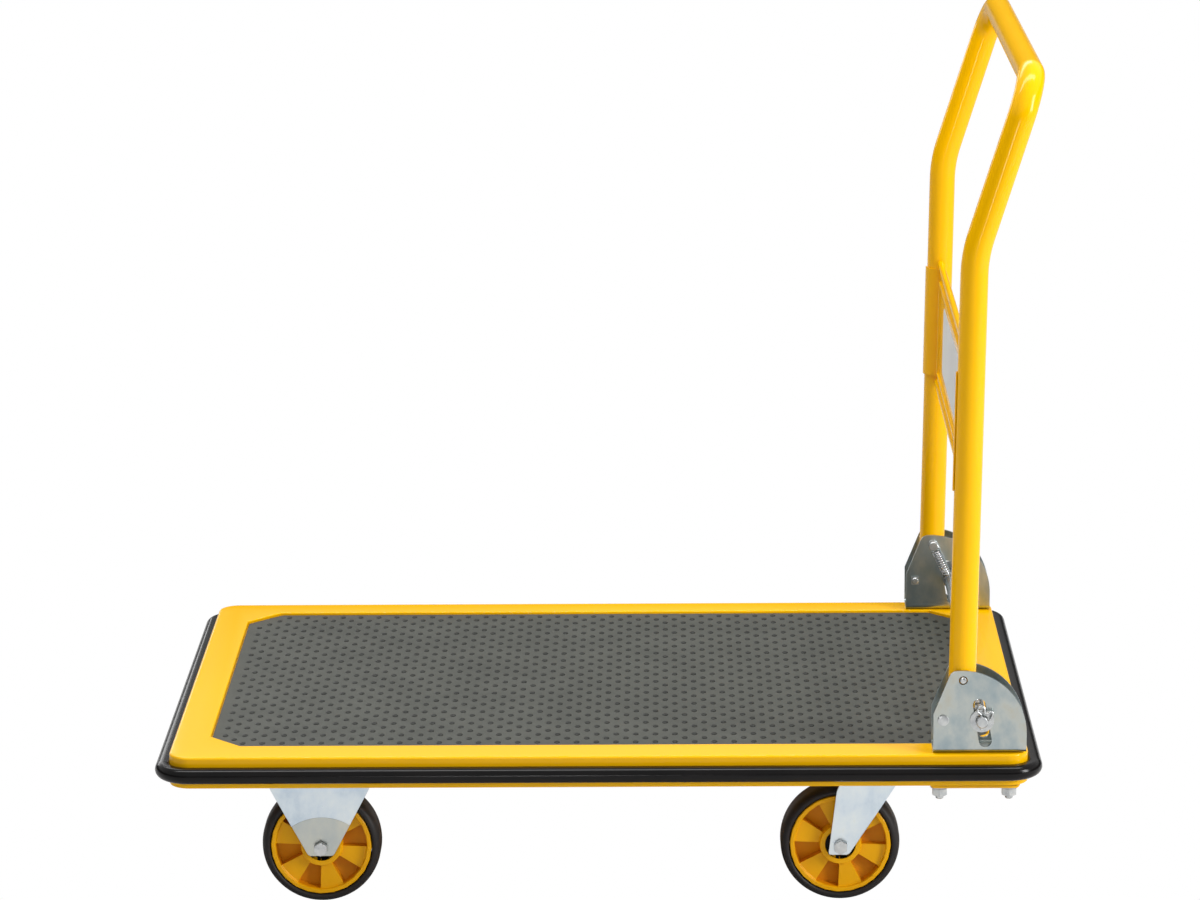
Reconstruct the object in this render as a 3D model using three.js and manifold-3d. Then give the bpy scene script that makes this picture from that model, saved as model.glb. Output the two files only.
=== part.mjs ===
// Folding platform cart: a pressed steel deck with a moulded bumper and an inset mat, two rigid and
// two swivel castors, and a tubular push handle that folds over the deck about two channel brackets.
//
// Millimetres, +Z up, ground at z = 0. +X points along the deck to the handle end and +Y across it.
// The origin is on the ground below the deck's centre. "near" is the -Y side and "far" the +Y side.
import * as THREE from 'three';
import { mergeVertices } from 'three/addons/utils/BufferGeometryUtils.js';
import Module from 'manifold-3d';

const wasm = await Module();
wasm.setup();

// ---------------------------------------------------------------- driving dimensions
const CLEAR = 0.3; // gap between pieces that touch

const CART_LENGTH = 910; // over the bumper
const CART_WIDTH = 610;
const BUMPER_DEPTH = 15; // how far the bumper stands out from the deck's skirt
const BUMPER_HEIGHT = 16;
const BUMPER_Z = 150; // mid height of the bumper

const DECK_TOP = 168.5; // flat rim round the mat
const DECK_BOTTOM = 134.5; // lower edge of the skirt
const DECK_CORNER = 22;
const DECK_SHEET = 2;
const DECK_EDGE = 2.5; // rolled edge between the rim and the skirt
const RECESS_DEPTH = 5.2;
const MAT_LENGTH = 802;
const MAT_WIDTH = 502;
const MAT_CHAMFER = 34;
const MAT_THICKNESS = 2.2;
const RECESS_MARGIN = 1.2; // recess outline beyond the mat

const MEMBER_SHEET = 2.5;
const MEMBER_LENGTH = 562; // cross members, across the cart
const FRONT_MEMBER_WIDTH = 122;
const REAR_MEMBER_WIDTH = 110;
const HANDLE_MEMBER_WIDTH = 92;
const HANDLE_MEMBER_X = 385.5;
const HANDLE_MEMBER_BOTTOM = 129;

const CASTOR_PLATE_TOP = 150;
const CASTOR_Y = 239; // castor centre line either side of the cart's middle
const RIGID_X = -287;
const SWIVEL_X = 280;
const SWIVEL_TRAIL = 31; // swivel axis to wheel axle
const WHEEL_RADIUS = 61.5;
const WHEEL_WIDTH = 38;
const HUB_RADIUS = 52;
const AXLE_RADIUS = 4;
const BUSH_RADIUS = 8;
const FORK_GAP = 46; // between the fork's cheeks
const FORK_SHEET = 2.5;

const TUBE_RADIUS = 14;
const TUBE_WALL = 1.6;
const POST_Y = 270;
const PIVOT_X = 372;
const PIVOT_Z = 245.5;
const POST_LEAN = 0.019; // the lower posts lean out by this much per millimetre of height
const POST_END = 38; // post below the pivot
const BEND_Z = 682; // where the posts lean out to the grip
const GRIP_X = 436.4;
const GRIP_Z = 858;
const BEND_RADIUS = 140;
const GRIP_RADIUS = 42;

const PANEL_TOP = 568;
const PANEL_BOTTOM = 433;
const PANEL_SHEET = 1.5;
const HEM_RADIUS = 3.6;
const SLEEVE_TOP = 562;
const SLEEVE_BOTTOM = 440;
const SLEEVE_PAST = 0.15; // the sleeve ends this far past the post's deck side, in radians
const PANEL_BEAD = [225, 51.5]; // half width and half height of the raised border

const BRACKET_WIDTH = 35; // over the cheeks
const BRACKET_SHEET = 2.5;
const BRACKET_X = 342; // the cheek's deck-side edge
const BRACKET_LENGTH = 95;
const BRACKET_BASE = DECK_TOP + CLEAR;
const CHEEK_RADIUS = 67; // big arc of the cheek
const CHEEK_ARC = [28, 20]; // its centre, from the cheek's lower deck-side corner
const PIN_RADIUS = 4;
const STOP_PIN = [352, 203.5];
const ROD_X = 391.3;
const ROD_Z = 203.3;
const ROD_RADIUS = 5.9;
const ROD_END = 297;
const SLOT_RADIUS = 6.5;
const SLOT_ABOVE = 16.4; // slot centre line above the rod at rest, along the slot
const SLOT_BELOW = 22;
const SLOT_ANGLE = Math.atan2(6.5, 38); // top of the slot leans to the post

const BRACKET_BOLT_X = [350, 421];
const BOLT_RADIUS = 4;
const BOLT_END_Z = 115;
const BOLT_FLATS = 13; // 8 mm bolts and nuts
const BOLT_HEAD = 5.3;
const NUT_HEIGHT = 9.2;
const NUT_FLATS = 16; // flanged nut
const NUT_FLANGE = [10, 1.6]; // radius, thickness

// ---------------------------------------------------------------- materials
const paint = (color, roughness, metalness) => new THREE.MeshStandardMaterial({
  color, roughness, metalness,
});
const YELLOW = paint(0xf5b800, 0.32, 0.1);
const ZINC = paint(0xb4bcbd, 0.38, 0.9);
const STEEL = paint(0xc9ced0, 0.3, 0.95);
const RUBBER = paint(0x1d1c1c, 0.75, 0);
const BUMPER = paint(0x1b1b1c, 0.5, 0);
const VINYL = paint(0x55544f, 0.7, 0);
const HUB = paint(0xd79a06, 0.42, 0);

// ---------------------------------------------------------------- geometry helpers
const TURN = Math.PI * 2;

// Merge vertices by position and turn the faces outwards.
function closed(geometry) {
  const bare = new THREE.BufferGeometry();
  bare.setAttribute('position', geometry.getAttribute('position').clone());
  if (geometry.index) bare.setIndex(geometry.index.clone());
  const merged = mergeVertices(bare, 1e-4);
  const p = merged.getAttribute('position');
  const kept = [];
  const a = new THREE.Vector3();
  const b = new THREE.Vector3();
  const c = new THREE.Vector3();
  let volume = 0;
  for (let i = 0; i < merged.index.count; i += 3) {
    const [i0, i1, i2] = [0, 1, 2].map((k) => merged.index.getX(i + k));
    if (i0 === i1 || i1 === i2 || i2 === i0) continue;
    a.fromBufferAttribute(p, i0);
    b.fromBufferAttribute(p, i1);
    c.fromBufferAttribute(p, i2);
    volume += a.dot(b.cross(c));
    kept.push([i0, i1, i2]);
  }
  merged.setIndex(kept.flatMap(([i0, i1, i2]) => (volume < 0 ? [i0, i2, i1] : [i0, i1, i2])));
  return merged;
}

function toSolid(geometry) {
  const g = closed(geometry);
  return new wasm.Manifold(new wasm.Mesh({
    numProp: 3,
    vertProperties: new Float32Array(g.getAttribute('position').array),
    triVerts: new Uint32Array(g.index.array),
  }));
}

function toGeometry(solid) {
  const mesh = solid.getMesh();
  const geometry = new THREE.BufferGeometry();
  geometry.setAttribute('position', new THREE.BufferAttribute(new Float32Array(mesh.vertProperties), 3));
  geometry.setIndex(new THREE.BufferAttribute(new Uint32Array(mesh.triVerts), 1));
  return geometry;
}

const join = (first, ...rest) => toGeometry(rest.reduce((s, g) => s.add(toSolid(g)), toSolid(first)));
const cut = (body, ...tools) => toGeometry(tools.reduce((s, g) => s.subtract(toSolid(g)), toSolid(body)));

const box = (x0, x1, y0, y1, z0, z1) => new THREE.BoxGeometry(x1 - x0, y1 - y0, z1 - z0)
  .translate((x0 + x1) / 2, (y0 + y1) / 2, (z0 + z1) / 2);

// Cylinder along Y or Z between two stations.
const rodY = (radius, x, z, y0, y1, sides = 16) => new THREE.CylinderGeometry(radius, radius, y1 - y0, sides)
  .translate(x, (y0 + y1) / 2, z);
const rodZ = (radius, x, y, z0, z1, sides = 16) => new THREE.CylinderGeometry(radius, radius, z1 - z0, sides)
  .rotateX(Math.PI / 2).translate(x, y, (z0 + z1) / 2);

// Plate cut from an outline in the XZ plane, standing between two Y stations.
function plateXZ(outline, y0, y1, holes = []) {
  const vectors = (points) => points.map(([x, z]) => new THREE.Vector2(x, z));
  const shape = new THREE.Shape(vectors(outline));
  shape.holes = holes.map((hole) => new THREE.Path(vectors(hole)));
  return new THREE.ExtrudeGeometry(shape, { depth: y1 - y0, bevelEnabled: false })
    .rotateX(Math.PI / 2).translate(0, y1, 0);
}

// Points on an arc about (cx, cz), end points included.
function arc(cx, cz, radius, from, to, steps) {
  return Array.from({ length: steps + 1 }, (_, i) => {
    const angle = from + ((to - from) * i) / steps;
    return [cx + radius * Math.cos(angle), cz + radius * Math.sin(angle)];
  });
}

// Hexagon across the flats, as a prism along Y or Z.
const hexRadius = (flats) => flats / Math.sqrt(3);
const hexY = (flats, x, z, y0, y1) => rodY(hexRadius(flats), x, z, y0, y1, 6);
const hexZ = (flats, x, y, z0, z1) => rodZ(hexRadius(flats), x, y, z0, z1, 6);

// Rounded or chamfered rectangle about the origin, anticlockwise, with the same number of points
// whatever its size, so that two of them can be joined into a wall.
const CORNER_STEPS = 6;
function rectangle(halfX, halfY, corner, chamfer = false) {
  const points = [];
  for (let quarter = 0; quarter < 4; quarter += 1) {
    const sx = quarter === 0 || quarter === 3 ? 1 : -1;
    const sy = quarter < 2 ? 1 : -1;
    const cx = sx * (halfX - corner);
    const cy = sy * (halfY - corner);
    for (let i = 0; i <= CORNER_STEPS; i += 1) {
      const t = i / CORNER_STEPS;
      const angle = (quarter + t) * (Math.PI / 2);
      const start = (quarter * Math.PI) / 2;
      const x0 = Math.cos(start);
      const y0 = Math.sin(start);
      const dx = chamfer ? x0 * (1 - t) - y0 * t : Math.cos(angle);
      const dy = chamfer ? y0 * (1 - t) + x0 * t : Math.sin(angle);
      points.push([cx + corner * dx, cy + corner * dy]);
    }
  }
  return points;
}

// Skin over a list of rings of equal length. ends is 'loop' when the last ring joins the first,
// 'flat' for end rings of any outline at a constant z, and 'fan' for convex end rings.
function skin(rings, ends) {
  const count = rings[0].length;
  const index = [];
  const spans = ends === 'loop' ? rings.length : rings.length - 1;
  for (let r = 0; r < spans; r += 1) {
    const lower = r * count;
    const upper = ((r + 1) % rings.length) * count;
    for (let i = 0; i < count; i += 1) {
      const j = (i + 1) % count;
      index.push(lower + i, lower + j, upper + j, lower + i, upper + j, upper + i);
    }
  }
  const fan = rings[0].slice(2).map((_, i) => [0, i + 1, i + 2]);
  const flat = (ring) => THREE.ShapeUtils
    .triangulateShape(ring.map((v) => new THREE.Vector2(v.x, v.y)), []);
  if (ends !== 'loop') {
    const first = ends === 'fan' ? fan : flat(rings[0]);
    const last = ends === 'fan' ? fan : flat(rings.at(-1));
    const offset = (rings.length - 1) * count;
    first.forEach(([i, j, k]) => index.push(i, k, j));
    last.forEach((corners) => index.push(...corners.map((k) => k + offset)));
  }
  const geometry = new THREE.BufferGeometry();
  const positions = rings.flat().flatMap((v) => [v.x, v.y, v.z]);
  geometry.setAttribute('position', new THREE.Float32BufferAttribute(positions, 3));
  geometry.setIndex(index);
  return closed(geometry);
}

const ringAt = (outline, z) => outline.map(([x, y]) => new THREE.Vector3(x, y, z));

// Solid of revolution about the Y axis from a section of [radius, y] points, joined into a loop.
function latheY(section, sides) {
  const loop = [...section, section[0]].map(([r, y]) => new THREE.Vector2(r, y));
  return closed(new THREE.LatheGeometry(loop, sides));
}

// Filleted polyline as stations: straight runs keep only their ends, bends become arcs.
function filleted(corners, radii, steps) {
  const points = [corners[0]];
  for (let i = 1; i < corners.length - 1; i += 1) {
    const back = corners[i - 1].clone().sub(corners[i]).normalize();
    const on = corners[i + 1].clone().sub(corners[i]).normalize();
    const half = back.angleTo(on) / 2;
    const centre = corners[i].clone().addScaledVector(
      back.clone().add(on).normalize(), radii[i - 1] / Math.sin(half),
    );
    const reach = radii[i - 1] / Math.tan(half);
    const start = corners[i].clone().addScaledVector(back, reach).sub(centre);
    const end = corners[i].clone().addScaledVector(on, reach).sub(centre);
    const sweep = start.angleTo(end);
    const axis = start.clone().cross(end).normalize();
    for (let k = 0; k <= steps[i - 1]; k += 1) {
      points.push(start.clone().applyAxisAngle(axis, (sweep * k) / steps[i - 1]).add(centre));
    }
  }
  points.push(corners.at(-1));
  return points;
}

// Round tube along a list of stations; its section turns with the path and doesn't twist.
function tube(stations, radius, sides) {
  const along = (i) => stations[Math.min(i + 1, stations.length - 1)].clone()
    .sub(stations[Math.max(i - 1, 0)]).normalize();
  let side = new THREE.Vector3(0, 1, 0).cross(along(0)).normalize();
  const rings = stations.map((station, i) => {
    const ahead = along(i);
    side = side.addScaledVector(ahead, -side.dot(ahead)).normalize();
    const other = ahead.clone().cross(side);
    return Array.from({ length: sides }, (_, k) => station.clone()
      .addScaledVector(side, radius * Math.cos((TURN * k) / sides))
      .addScaledVector(other, radius * Math.sin((TURN * k) / sides)));
  });
  return skin(rings, 'fan');
}

const object = new THREE.Group();
function add(name, geometry, material, parent = object) {
  const mesh = new THREE.Mesh(geometry, material);
  mesh.name = name;
  parent.add(mesh);
  return mesh;
}

// ---------------------------------------------------------------- deck
const DECK_HALF_X = CART_LENGTH / 2 - BUMPER_DEPTH;
const DECK_HALF_Y = CART_WIDTH / 2 - BUMPER_DEPTH;
const SIDES = [['near', -1], ['far', 1]];
const BOLT_HOLE = BOLT_RADIUS + 0.4;
const HOLE_SIDES = 10;
const bracketBoltPlaces = SIDES.flatMap(([, side]) => BRACKET_BOLT_X.map((x) => [x, side * POST_Y]));

// The deck's outline, moved outwards, at a height.
const outset = (out, z) => ringAt(
  rectangle(DECK_HALF_X + out, DECK_HALF_Y + out, DECK_CORNER + out), z,
);

// One pressed sheet: recess, rim, rolled edge and skirt, open below.
function deckPan() {
  const recess = (out, z) => ringAt(rectangle(
    MAT_LENGTH / 2 + RECESS_MARGIN + out, MAT_WIDTH / 2 + RECESS_MARGIN + out, MAT_CHAMFER, true,
  ), z);
  const floor = DECK_TOP - RECESS_DEPTH;
  const edge = arc(-DECK_EDGE, DECK_TOP - DECK_EDGE, DECK_EDGE, 0, Math.PI / 2, 3);
  const rings = [
    recess(DECK_SHEET, floor - DECK_SHEET),
    recess(DECK_SHEET, DECK_TOP - DECK_SHEET),
    outset(-DECK_SHEET, DECK_TOP - DECK_SHEET),
    outset(-DECK_SHEET, DECK_BOTTOM),
    outset(0, DECK_BOTTOM),
    ...edge.map(([out, z]) => outset(out, z)),
    recess(0, DECK_TOP),
    recess(0, floor),
  ];
  const holes = bracketBoltPlaces
    .map(([x, y]) => rodZ(BOLT_HOLE, x, y, DECK_BOTTOM, DECK_TOP + 5, HOLE_SIDES));
  return cut(skin(rings, 'flat'), ...holes);
}

// D-section moulding round the skirt.
function bumper() {
  const half = BUMPER_HEIGHT / 2;
  const section = [[CLEAR, -half + 1], [5, -half]]
    .concat(arc(BUMPER_DEPTH - half, 0, half, -Math.PI / 3, Math.PI / 3, 4), [[5, half], [CLEAR, half - 1]]);
  const rings = section.map(([out, z]) => outset(out, BUMPER_Z + z));
  return skin(rings, 'loop');
}

function mat() {
  const bottom = DECK_TOP - RECESS_DEPTH + CLEAR;
  const outline = rectangle(MAT_LENGTH / 2, MAT_WIDTH / 2, MAT_CHAMFER, true)
    .filter((_, i) => i % (CORNER_STEPS + 1) === 0 || i % (CORNER_STEPS + 1) === CORNER_STEPS);
  return skin([ringAt(outline, bottom), ringAt(outline, bottom + MAT_THICKNESS)], 'flat');
}

// Channel across the cart, web down, its flanges against the deck's floor.
function crossMember(x, width, bottom) {
  const top = DECK_TOP - RECESS_DEPTH - DECK_SHEET - CLEAR;
  const half = MEMBER_LENGTH / 2;
  const x0 = x - width / 2;
  const x1 = x + width / 2;
  return plateXZ([
    [x0, bottom], [x1, bottom], [x1, top], [x1 - MEMBER_SHEET, top],
    [x1 - MEMBER_SHEET, bottom + MEMBER_SHEET], [x0 + MEMBER_SHEET, bottom + MEMBER_SHEET],
    [x0 + MEMBER_SHEET, top], [x0, top],
  ], -half, half);
}

add('deck_pan', deckPan(), YELLOW);
add('bumper', bumper(), BUMPER);
add('mat', mat(), VINYL);
const castorMemberBottom = CASTOR_PLATE_TOP + CLEAR;
add('front_cross_member', crossMember(RIGID_X, FRONT_MEMBER_WIDTH, castorMemberBottom), YELLOW);
add('rear_cross_member', crossMember(SWIVEL_X, REAR_MEMBER_WIDTH, castorMemberBottom), YELLOW);
const memberHoles = bracketBoltPlaces.map(([x, y]) => rodZ(
  BOLT_HOLE, x, y, HANDLE_MEMBER_BOTTOM - 5, HANDLE_MEMBER_BOTTOM + 5, HOLE_SIDES,
));
const handleMember = crossMember(HANDLE_MEMBER_X, HANDLE_MEMBER_WIDTH, HANDLE_MEMBER_BOTTOM);
add('handle_cross_member', cut(handleMember, ...memberHoles), YELLOW);

// ---------------------------------------------------------------- handle brackets
const slotDown = [Math.sin(SLOT_ANGLE), -Math.cos(SLOT_ANGLE)];
const circleXZ = (x, z, radius, steps = 10) => arc(x, z, radius, 0, -TURN, steps).slice(1);

function slotOutline() {
  const top = [ROD_X - slotDown[0] * SLOT_ABOVE, ROD_Z - slotDown[1] * SLOT_ABOVE];
  const bottom = [ROD_X + slotDown[0] * SLOT_BELOW, ROD_Z + slotDown[1] * SLOT_BELOW];
  return [
    ...arc(...top, SLOT_RADIUS, SLOT_ANGLE, SLOT_ANGLE + Math.PI, 6),
    ...arc(...bottom, SLOT_RADIUS, SLOT_ANGLE + Math.PI, SLOT_ANGLE + TURN, 6),
  ];
}

// Channel with two slotted cheeks; the post stands between them.
function bracket(side) {
  const [arcX, arcZ] = CHEEK_ARC;
  const outline = [
    [0, 0], [BRACKET_LENGTH, 0],
    ...arc(arcX, arcZ, CHEEK_RADIUS, 0, Math.PI / 2, 10),
    [22, 86.6], [18, 84], [15.5, 79.5], [0, 41.5],
  ].map(([x, z]) => [BRACKET_X + x, BRACKET_BASE + z]);
  const holes = [
    slotOutline(),
    circleXZ(PIVOT_X, PIVOT_Z, PIN_RADIUS + CLEAR),
    circleXZ(...STOP_PIN, PIN_RADIUS + CLEAR),
  ];
  const half = BRACKET_WIDTH / 2;
  const y = side * POST_Y;
  const x1 = BRACKET_X + BRACKET_LENGTH;
  const channel = join(
    plateXZ(outline, y - half, y - half + BRACKET_SHEET, holes),
    plateXZ(outline, y + half - BRACKET_SHEET, y + half, holes),
    box(BRACKET_X, x1, y - half + 1, y + half - 1, BRACKET_BASE, BRACKET_BASE + BRACKET_SHEET),
  );
  return cut(channel, ...BRACKET_BOLT_X.map((x) => rodZ(
    BOLT_HOLE, x, y, BRACKET_BASE - 1, BRACKET_BASE + BRACKET_SHEET + 1, HOLE_SIDES,
  )));
}

const CHEEK_OUT = BRACKET_WIDTH / 2; // from the post's centre line to a cheek's outer face
const PIN_HEAD = 2.8;
const PIN_COLLAR = 4.5;
const PIVOT_PIN = { head: 5, collarFlats: 9, tail: 11 };
const STOP_RIVET = { head: 5.8, collarFlats: 9, tail: 3 };
const across = (side, from, to) => [POST_Y * side + Math.min(from * side, to * side),
  POST_Y * side + Math.max(from * side, to * side)];

// Pin across a bracket: a head outside, a collar inside and a plain shank between them.
function crossPin(side, x, z, { head, collarFlats, tail }) {
  const shank = rodY(PIN_RADIUS, x, z, ...across(side, -CHEEK_OUT - tail, CHEEK_OUT + 1), 10);
  const outer = rodY(head, x, z, ...across(side, CHEEK_OUT + CLEAR, CHEEK_OUT + PIN_HEAD), 10);
  const inner = hexY(collarFlats, x, z, ...across(side, -CHEEK_OUT - PIN_COLLAR, -CHEEK_OUT - CLEAR));
  return join(shank, outer, inner);
}

function bracketBolt(x, y) {
  const seat = BRACKET_BASE + BRACKET_SHEET + CLEAR;
  return join(
    rodZ(BOLT_RADIUS, x, y, BOLT_END_Z, seat + 1, 8), hexZ(BOLT_FLATS, x, y, seat, seat + BOLT_HEAD),
  );
}

function bracketNut(x, y) {
  const top = HANDLE_MEMBER_BOTTOM - CLEAR;
  const [radius, thickness] = NUT_FLANGE;
  const flange = rodZ(radius, x, y, top - thickness, top, 12);
  const body = join(flange, hexZ(NUT_FLATS, x, y, top - 1 - NUT_HEIGHT, top - 1));
  return cut(body, rodZ(BOLT_RADIUS + CLEAR, x, y, top - NUT_HEIGHT - 3, top + 1, 8));
}

SIDES.forEach(([name, side]) => {
  add(`bracket_${name}`, bracket(side), ZINC);
  add(`pivot_pin_${name}`, crossPin(side, PIVOT_X, PIVOT_Z, PIVOT_PIN), STEEL);
  add(`stop_pin_${name}`, crossPin(side, ...STOP_PIN, STOP_RIVET), STEEL);
  BRACKET_BOLT_X.forEach((x, i) => {
    const label = `${name}_${['inner', 'outer'][i]}`;
    add(`bracket_bolt_${label}`, bracketBolt(x, side * POST_Y), STEEL);
    add(`bracket_nut_${label}`, bracketNut(x, side * POST_Y), STEEL);
  });
});

// ---------------------------------------------------------------- foot-operated lock
const WASHER_Y = POST_Y + CHEEK_OUT + CLEAR;
const WASHER_RADIUS = 12.2;
const WASHER_SHEET = 1.6;
const PIN_Y = WASHER_Y + 3.9;
const SPLIT_RADIUS = 1.5;
const EYE_RADIUS = 3.4;

function lockRod() {
  const rod = rodY(ROD_RADIUS, ROD_X, ROD_Z, -ROD_END, ROD_END, 14);
  const pinHoles = [-1, 1].map((side) => rodZ(
    SPLIT_RADIUS + 0.4, ROD_X, side * PIN_Y, ROD_Z - 10, ROD_Z + 10, HOLE_SIDES,
  ));
  return cut(rod, ...pinHoles);
}

function lockWasher(side) {
  const bore = ROD_RADIUS + 0.4;
  const ring = [[bore, 0], [WASHER_RADIUS, 0], [WASHER_RADIUS, WASHER_SHEET], [bore, WASHER_SHEET]];
  return latheY(ring, 18).translate(ROD_X, side > 0 ? WASHER_Y : -WASHER_Y - WASHER_SHEET, ROD_Z);
}

// Split pin through the rod: a round shank below a flat eye.
function splitPin(side) {
  const eye = new THREE.TorusGeometry(EYE_RADIUS, 1.3, 5, 10).rotateX(Math.PI / 2)
    .translate(ROD_X, side * PIN_Y, ROD_Z + 11.6);
  return join(rodZ(SPLIT_RADIUS, ROD_X, side * PIN_Y, ROD_Z - 10, ROD_Z + 9, 10), eye);
}

// Extension spring between the pivot pin's tail and the rod, drawn as a ribbed barrel.
function lockSpring(side) {
  const reach = Math.hypot(ROD_X - PIVOT_X, PIVOT_Z - ROD_Z);
  const from = 8;
  const to = reach - ROD_RADIUS - 1.2;
  const ribs = 5;
  const profile = [new THREE.Vector2(0, from)];
  for (let i = 0; i <= ribs * 2; i += 1) {
    profile.push(new THREE.Vector2(i % 2 ? 4.9 : 4.2, from + ((to - from) * i) / (ribs * 2)));
  }
  profile.push(new THREE.Vector2(0, to));
  const tilt = Math.atan2(ROD_X - PIVOT_X, PIVOT_Z - ROD_Z);
  return closed(new THREE.LatheGeometry(profile, 10)).rotateX(-Math.PI / 2).rotateY(-tilt)
    .translate(PIVOT_X, side * (POST_Y - CHEEK_OUT - 6.2), PIVOT_Z);
}

add('lock_rod', lockRod(), STEEL);
SIDES.forEach(([name, side]) => {
  add(`lock_washer_${name}`, lockWasher(side), STEEL);
  add(`split_pin_${name}`, splitPin(side), STEEL);
  add(`lock_spring_${name}`, lockSpring(side), STEEL);
});

// ---------------------------------------------------------------- folding handle
const postX = (z) => PIVOT_X + POST_LEAN * (z - PIVOT_Z);
const postAt = (z, side) => new THREE.Vector3(postX(z), side * POST_Y, z);

function handleTube() {
  const corners = (end) => [
    postAt(PIVOT_Z - end, -1), postAt(BEND_Z, -1), new THREE.Vector3(GRIP_X, -POST_Y, GRIP_Z),
    new THREE.Vector3(GRIP_X, POST_Y, GRIP_Z), postAt(BEND_Z, 1), postAt(PIVOT_Z - end, 1),
  ];
  const radii = [BEND_RADIUS, GRIP_RADIUS, GRIP_RADIUS, BEND_RADIUS];
  const steps = [3, 6, 6, 3];
  const outer = tube(filleted(corners(POST_END), radii, steps), TUBE_RADIUS, 16);
  const inner = tube(filleted(corners(POST_END + 5), radii, steps), TUBE_RADIUS - TUBE_WALL, 10);
  const pinHoles = [-1, 1].map((side) => rodY(
    PIN_RADIUS + CLEAR, PIVOT_X, PIVOT_Z, side * POST_Y - 20, side * POST_Y + 20, 12,
  ));
  return cut(outer, inner, ...pinHoles);
}

// Pressed plate between the posts with rolled hems, a raised border and a sleeve that wraps each
// post from its inner side round to its deck side.
function handlePanel() {
  const middle = (PANEL_TOP + PANEL_BOTTOM) / 2;
  const lean = Math.atan(POST_LEAN);
  const half = (PANEL_TOP - PANEL_BOTTOM) / 2;
  const inside = POST_Y - TUBE_RADIUS - CLEAR - PANEL_SHEET;
  const [beadY, beadZ] = PANEL_BEAD;
  const sheet = box(-PANEL_SHEET / 2, PANEL_SHEET / 2, -inside - 1, inside + 1, -half, half);
  const hems = [-half, half].map((z) => rodY(HEM_RADIUS, 0, z, -inside, inside, 12));
  const rails = [-beadZ, beadZ].map((z) => box(-4, 0, -beadY, beadY, z - 1.5, z + 1.5));
  const stiles = [-beadY, beadY].map((y) => box(-4, 0, y - 1.5, y + 1.5, -beadZ - 1, beadZ + 1));
  const wrap = (side) => {
    const from = Math.PI + (side * Math.PI) / 2;
    const to = Math.PI - side * SLEEVE_PAST;
    const section = [
      ...arc(0, 0, TUBE_RADIUS + CLEAR + PANEL_SHEET, from, to, 6),
      ...arc(0, 0, TUBE_RADIUS + CLEAR, to, from, 6),
    ].map(([x, y]) => [x, side * POST_Y + y]);
    if (side > 0) section.reverse();
    return skin([ringAt(section, SLEEVE_BOTTOM - middle), ringAt(section, SLEEVE_TOP - middle)], 'flat');
  };
  return join(sheet, ...hems, ...rails, ...stiles, wrap(-1), wrap(1))
    .rotateY(lean).translate(postX(middle), 0, middle);
}

add('handle_tube', handleTube(), YELLOW);
add('handle_panel', handlePanel(), YELLOW);

// ---------------------------------------------------------------- wheels and castors
const BORE_RADIUS = BUSH_RADIUS + CLEAR;
const WHEEL_SIDES = 28;

function tyre() {
  const half = WHEEL_WIDTH / 2;
  return latheY([
    [HUB_RADIUS + CLEAR, -half + 1.5], [WHEEL_RADIUS - 5, -half], [WHEEL_RADIUS - 1.2, -half + 3.5],
    [WHEEL_RADIUS, -half + 8], [WHEEL_RADIUS, half - 8], [WHEEL_RADIUS - 1.2, half - 3.5],
    [WHEEL_RADIUS - 5, half], [HUB_RADIUS + CLEAR, half - 1.5],
  ], WHEEL_SIDES);
}

function hub() {
  const half = WHEEL_WIDTH / 2;
  const ring = 16;
  const web = 6;
  return latheY([
    [BORE_RADIUS, -half - 1], [ring, -half - 1], [ring + 5, -web], [HUB_RADIUS - 5, -web],
    [HUB_RADIUS - 4, -half + 1], [HUB_RADIUS, -half + 1], [HUB_RADIUS, half - 1],
    [HUB_RADIUS - 4, half - 1], [HUB_RADIUS - 5, web], [ring + 5, web], [ring, half + 1],
    [BORE_RADIUS, half + 1],
  ], WHEEL_SIDES);
}

const CHEEK = FORK_GAP / 2;
const AXLE_NUT = 7; // thickness
const bushLength = CHEEK - CLEAR;
const bush = () => latheY([
  [AXLE_RADIUS + CLEAR, -bushLength], [BUSH_RADIUS, -bushLength],
  [BUSH_RADIUS, bushLength], [AXLE_RADIUS + CLEAR, bushLength],
], 12);

// side is where the bolt's head lies, so that both heads face outwards.
function axleBolt(side) {
  const head = CHEEK + FORK_SHEET + CLEAR;
  const tail = CHEEK + FORK_SHEET + 10;
  const span = (from, to) => [Math.min(side * from, side * to), Math.max(side * from, side * to)];
  return join(
    rodY(AXLE_RADIUS, 0, 0, ...span(-tail, head + 1), 10),
    hexY(BOLT_FLATS, 0, 0, ...span(head, head + BOLT_HEAD)),
  );
}

function axleNut(side) {
  const near = CHEEK + FORK_SHEET + CLEAR;
  const [y0, y1] = side > 0 ? [-near - AXLE_NUT, -near] : [near, near + AXLE_NUT];
  return cut(hexY(BOLT_FLATS, 0, 0, y0, y1), rodY(AXLE_RADIUS + CLEAR, 0, 0, y0 - 1, y1 + 1, 10));
}

// Both cheeks of a fork, from an outline about the axle.
function cheeks(outline) {
  const hole = [circleXZ(0, 0, AXLE_RADIUS + CLEAR)];
  return [-1, 1].map((side) => {
    const [y0, y1] = side > 0 ? [CHEEK, CHEEK + FORK_SHEET] : [-CHEEK - FORK_SHEET, -CHEEK];
    return plateXZ(outline, y0, y1, hole);
  });
}

const PLATE_TOP = CASTOR_PLATE_TOP - WHEEL_RADIUS; // above the axle
const PLATE_SHEET = 2.5;
const PLATE_HALF_Y = 42;
const RIGID_PLATE_HALF_X = 58;
const SWIVEL_PLATE_HALF_X = 52;

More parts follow.
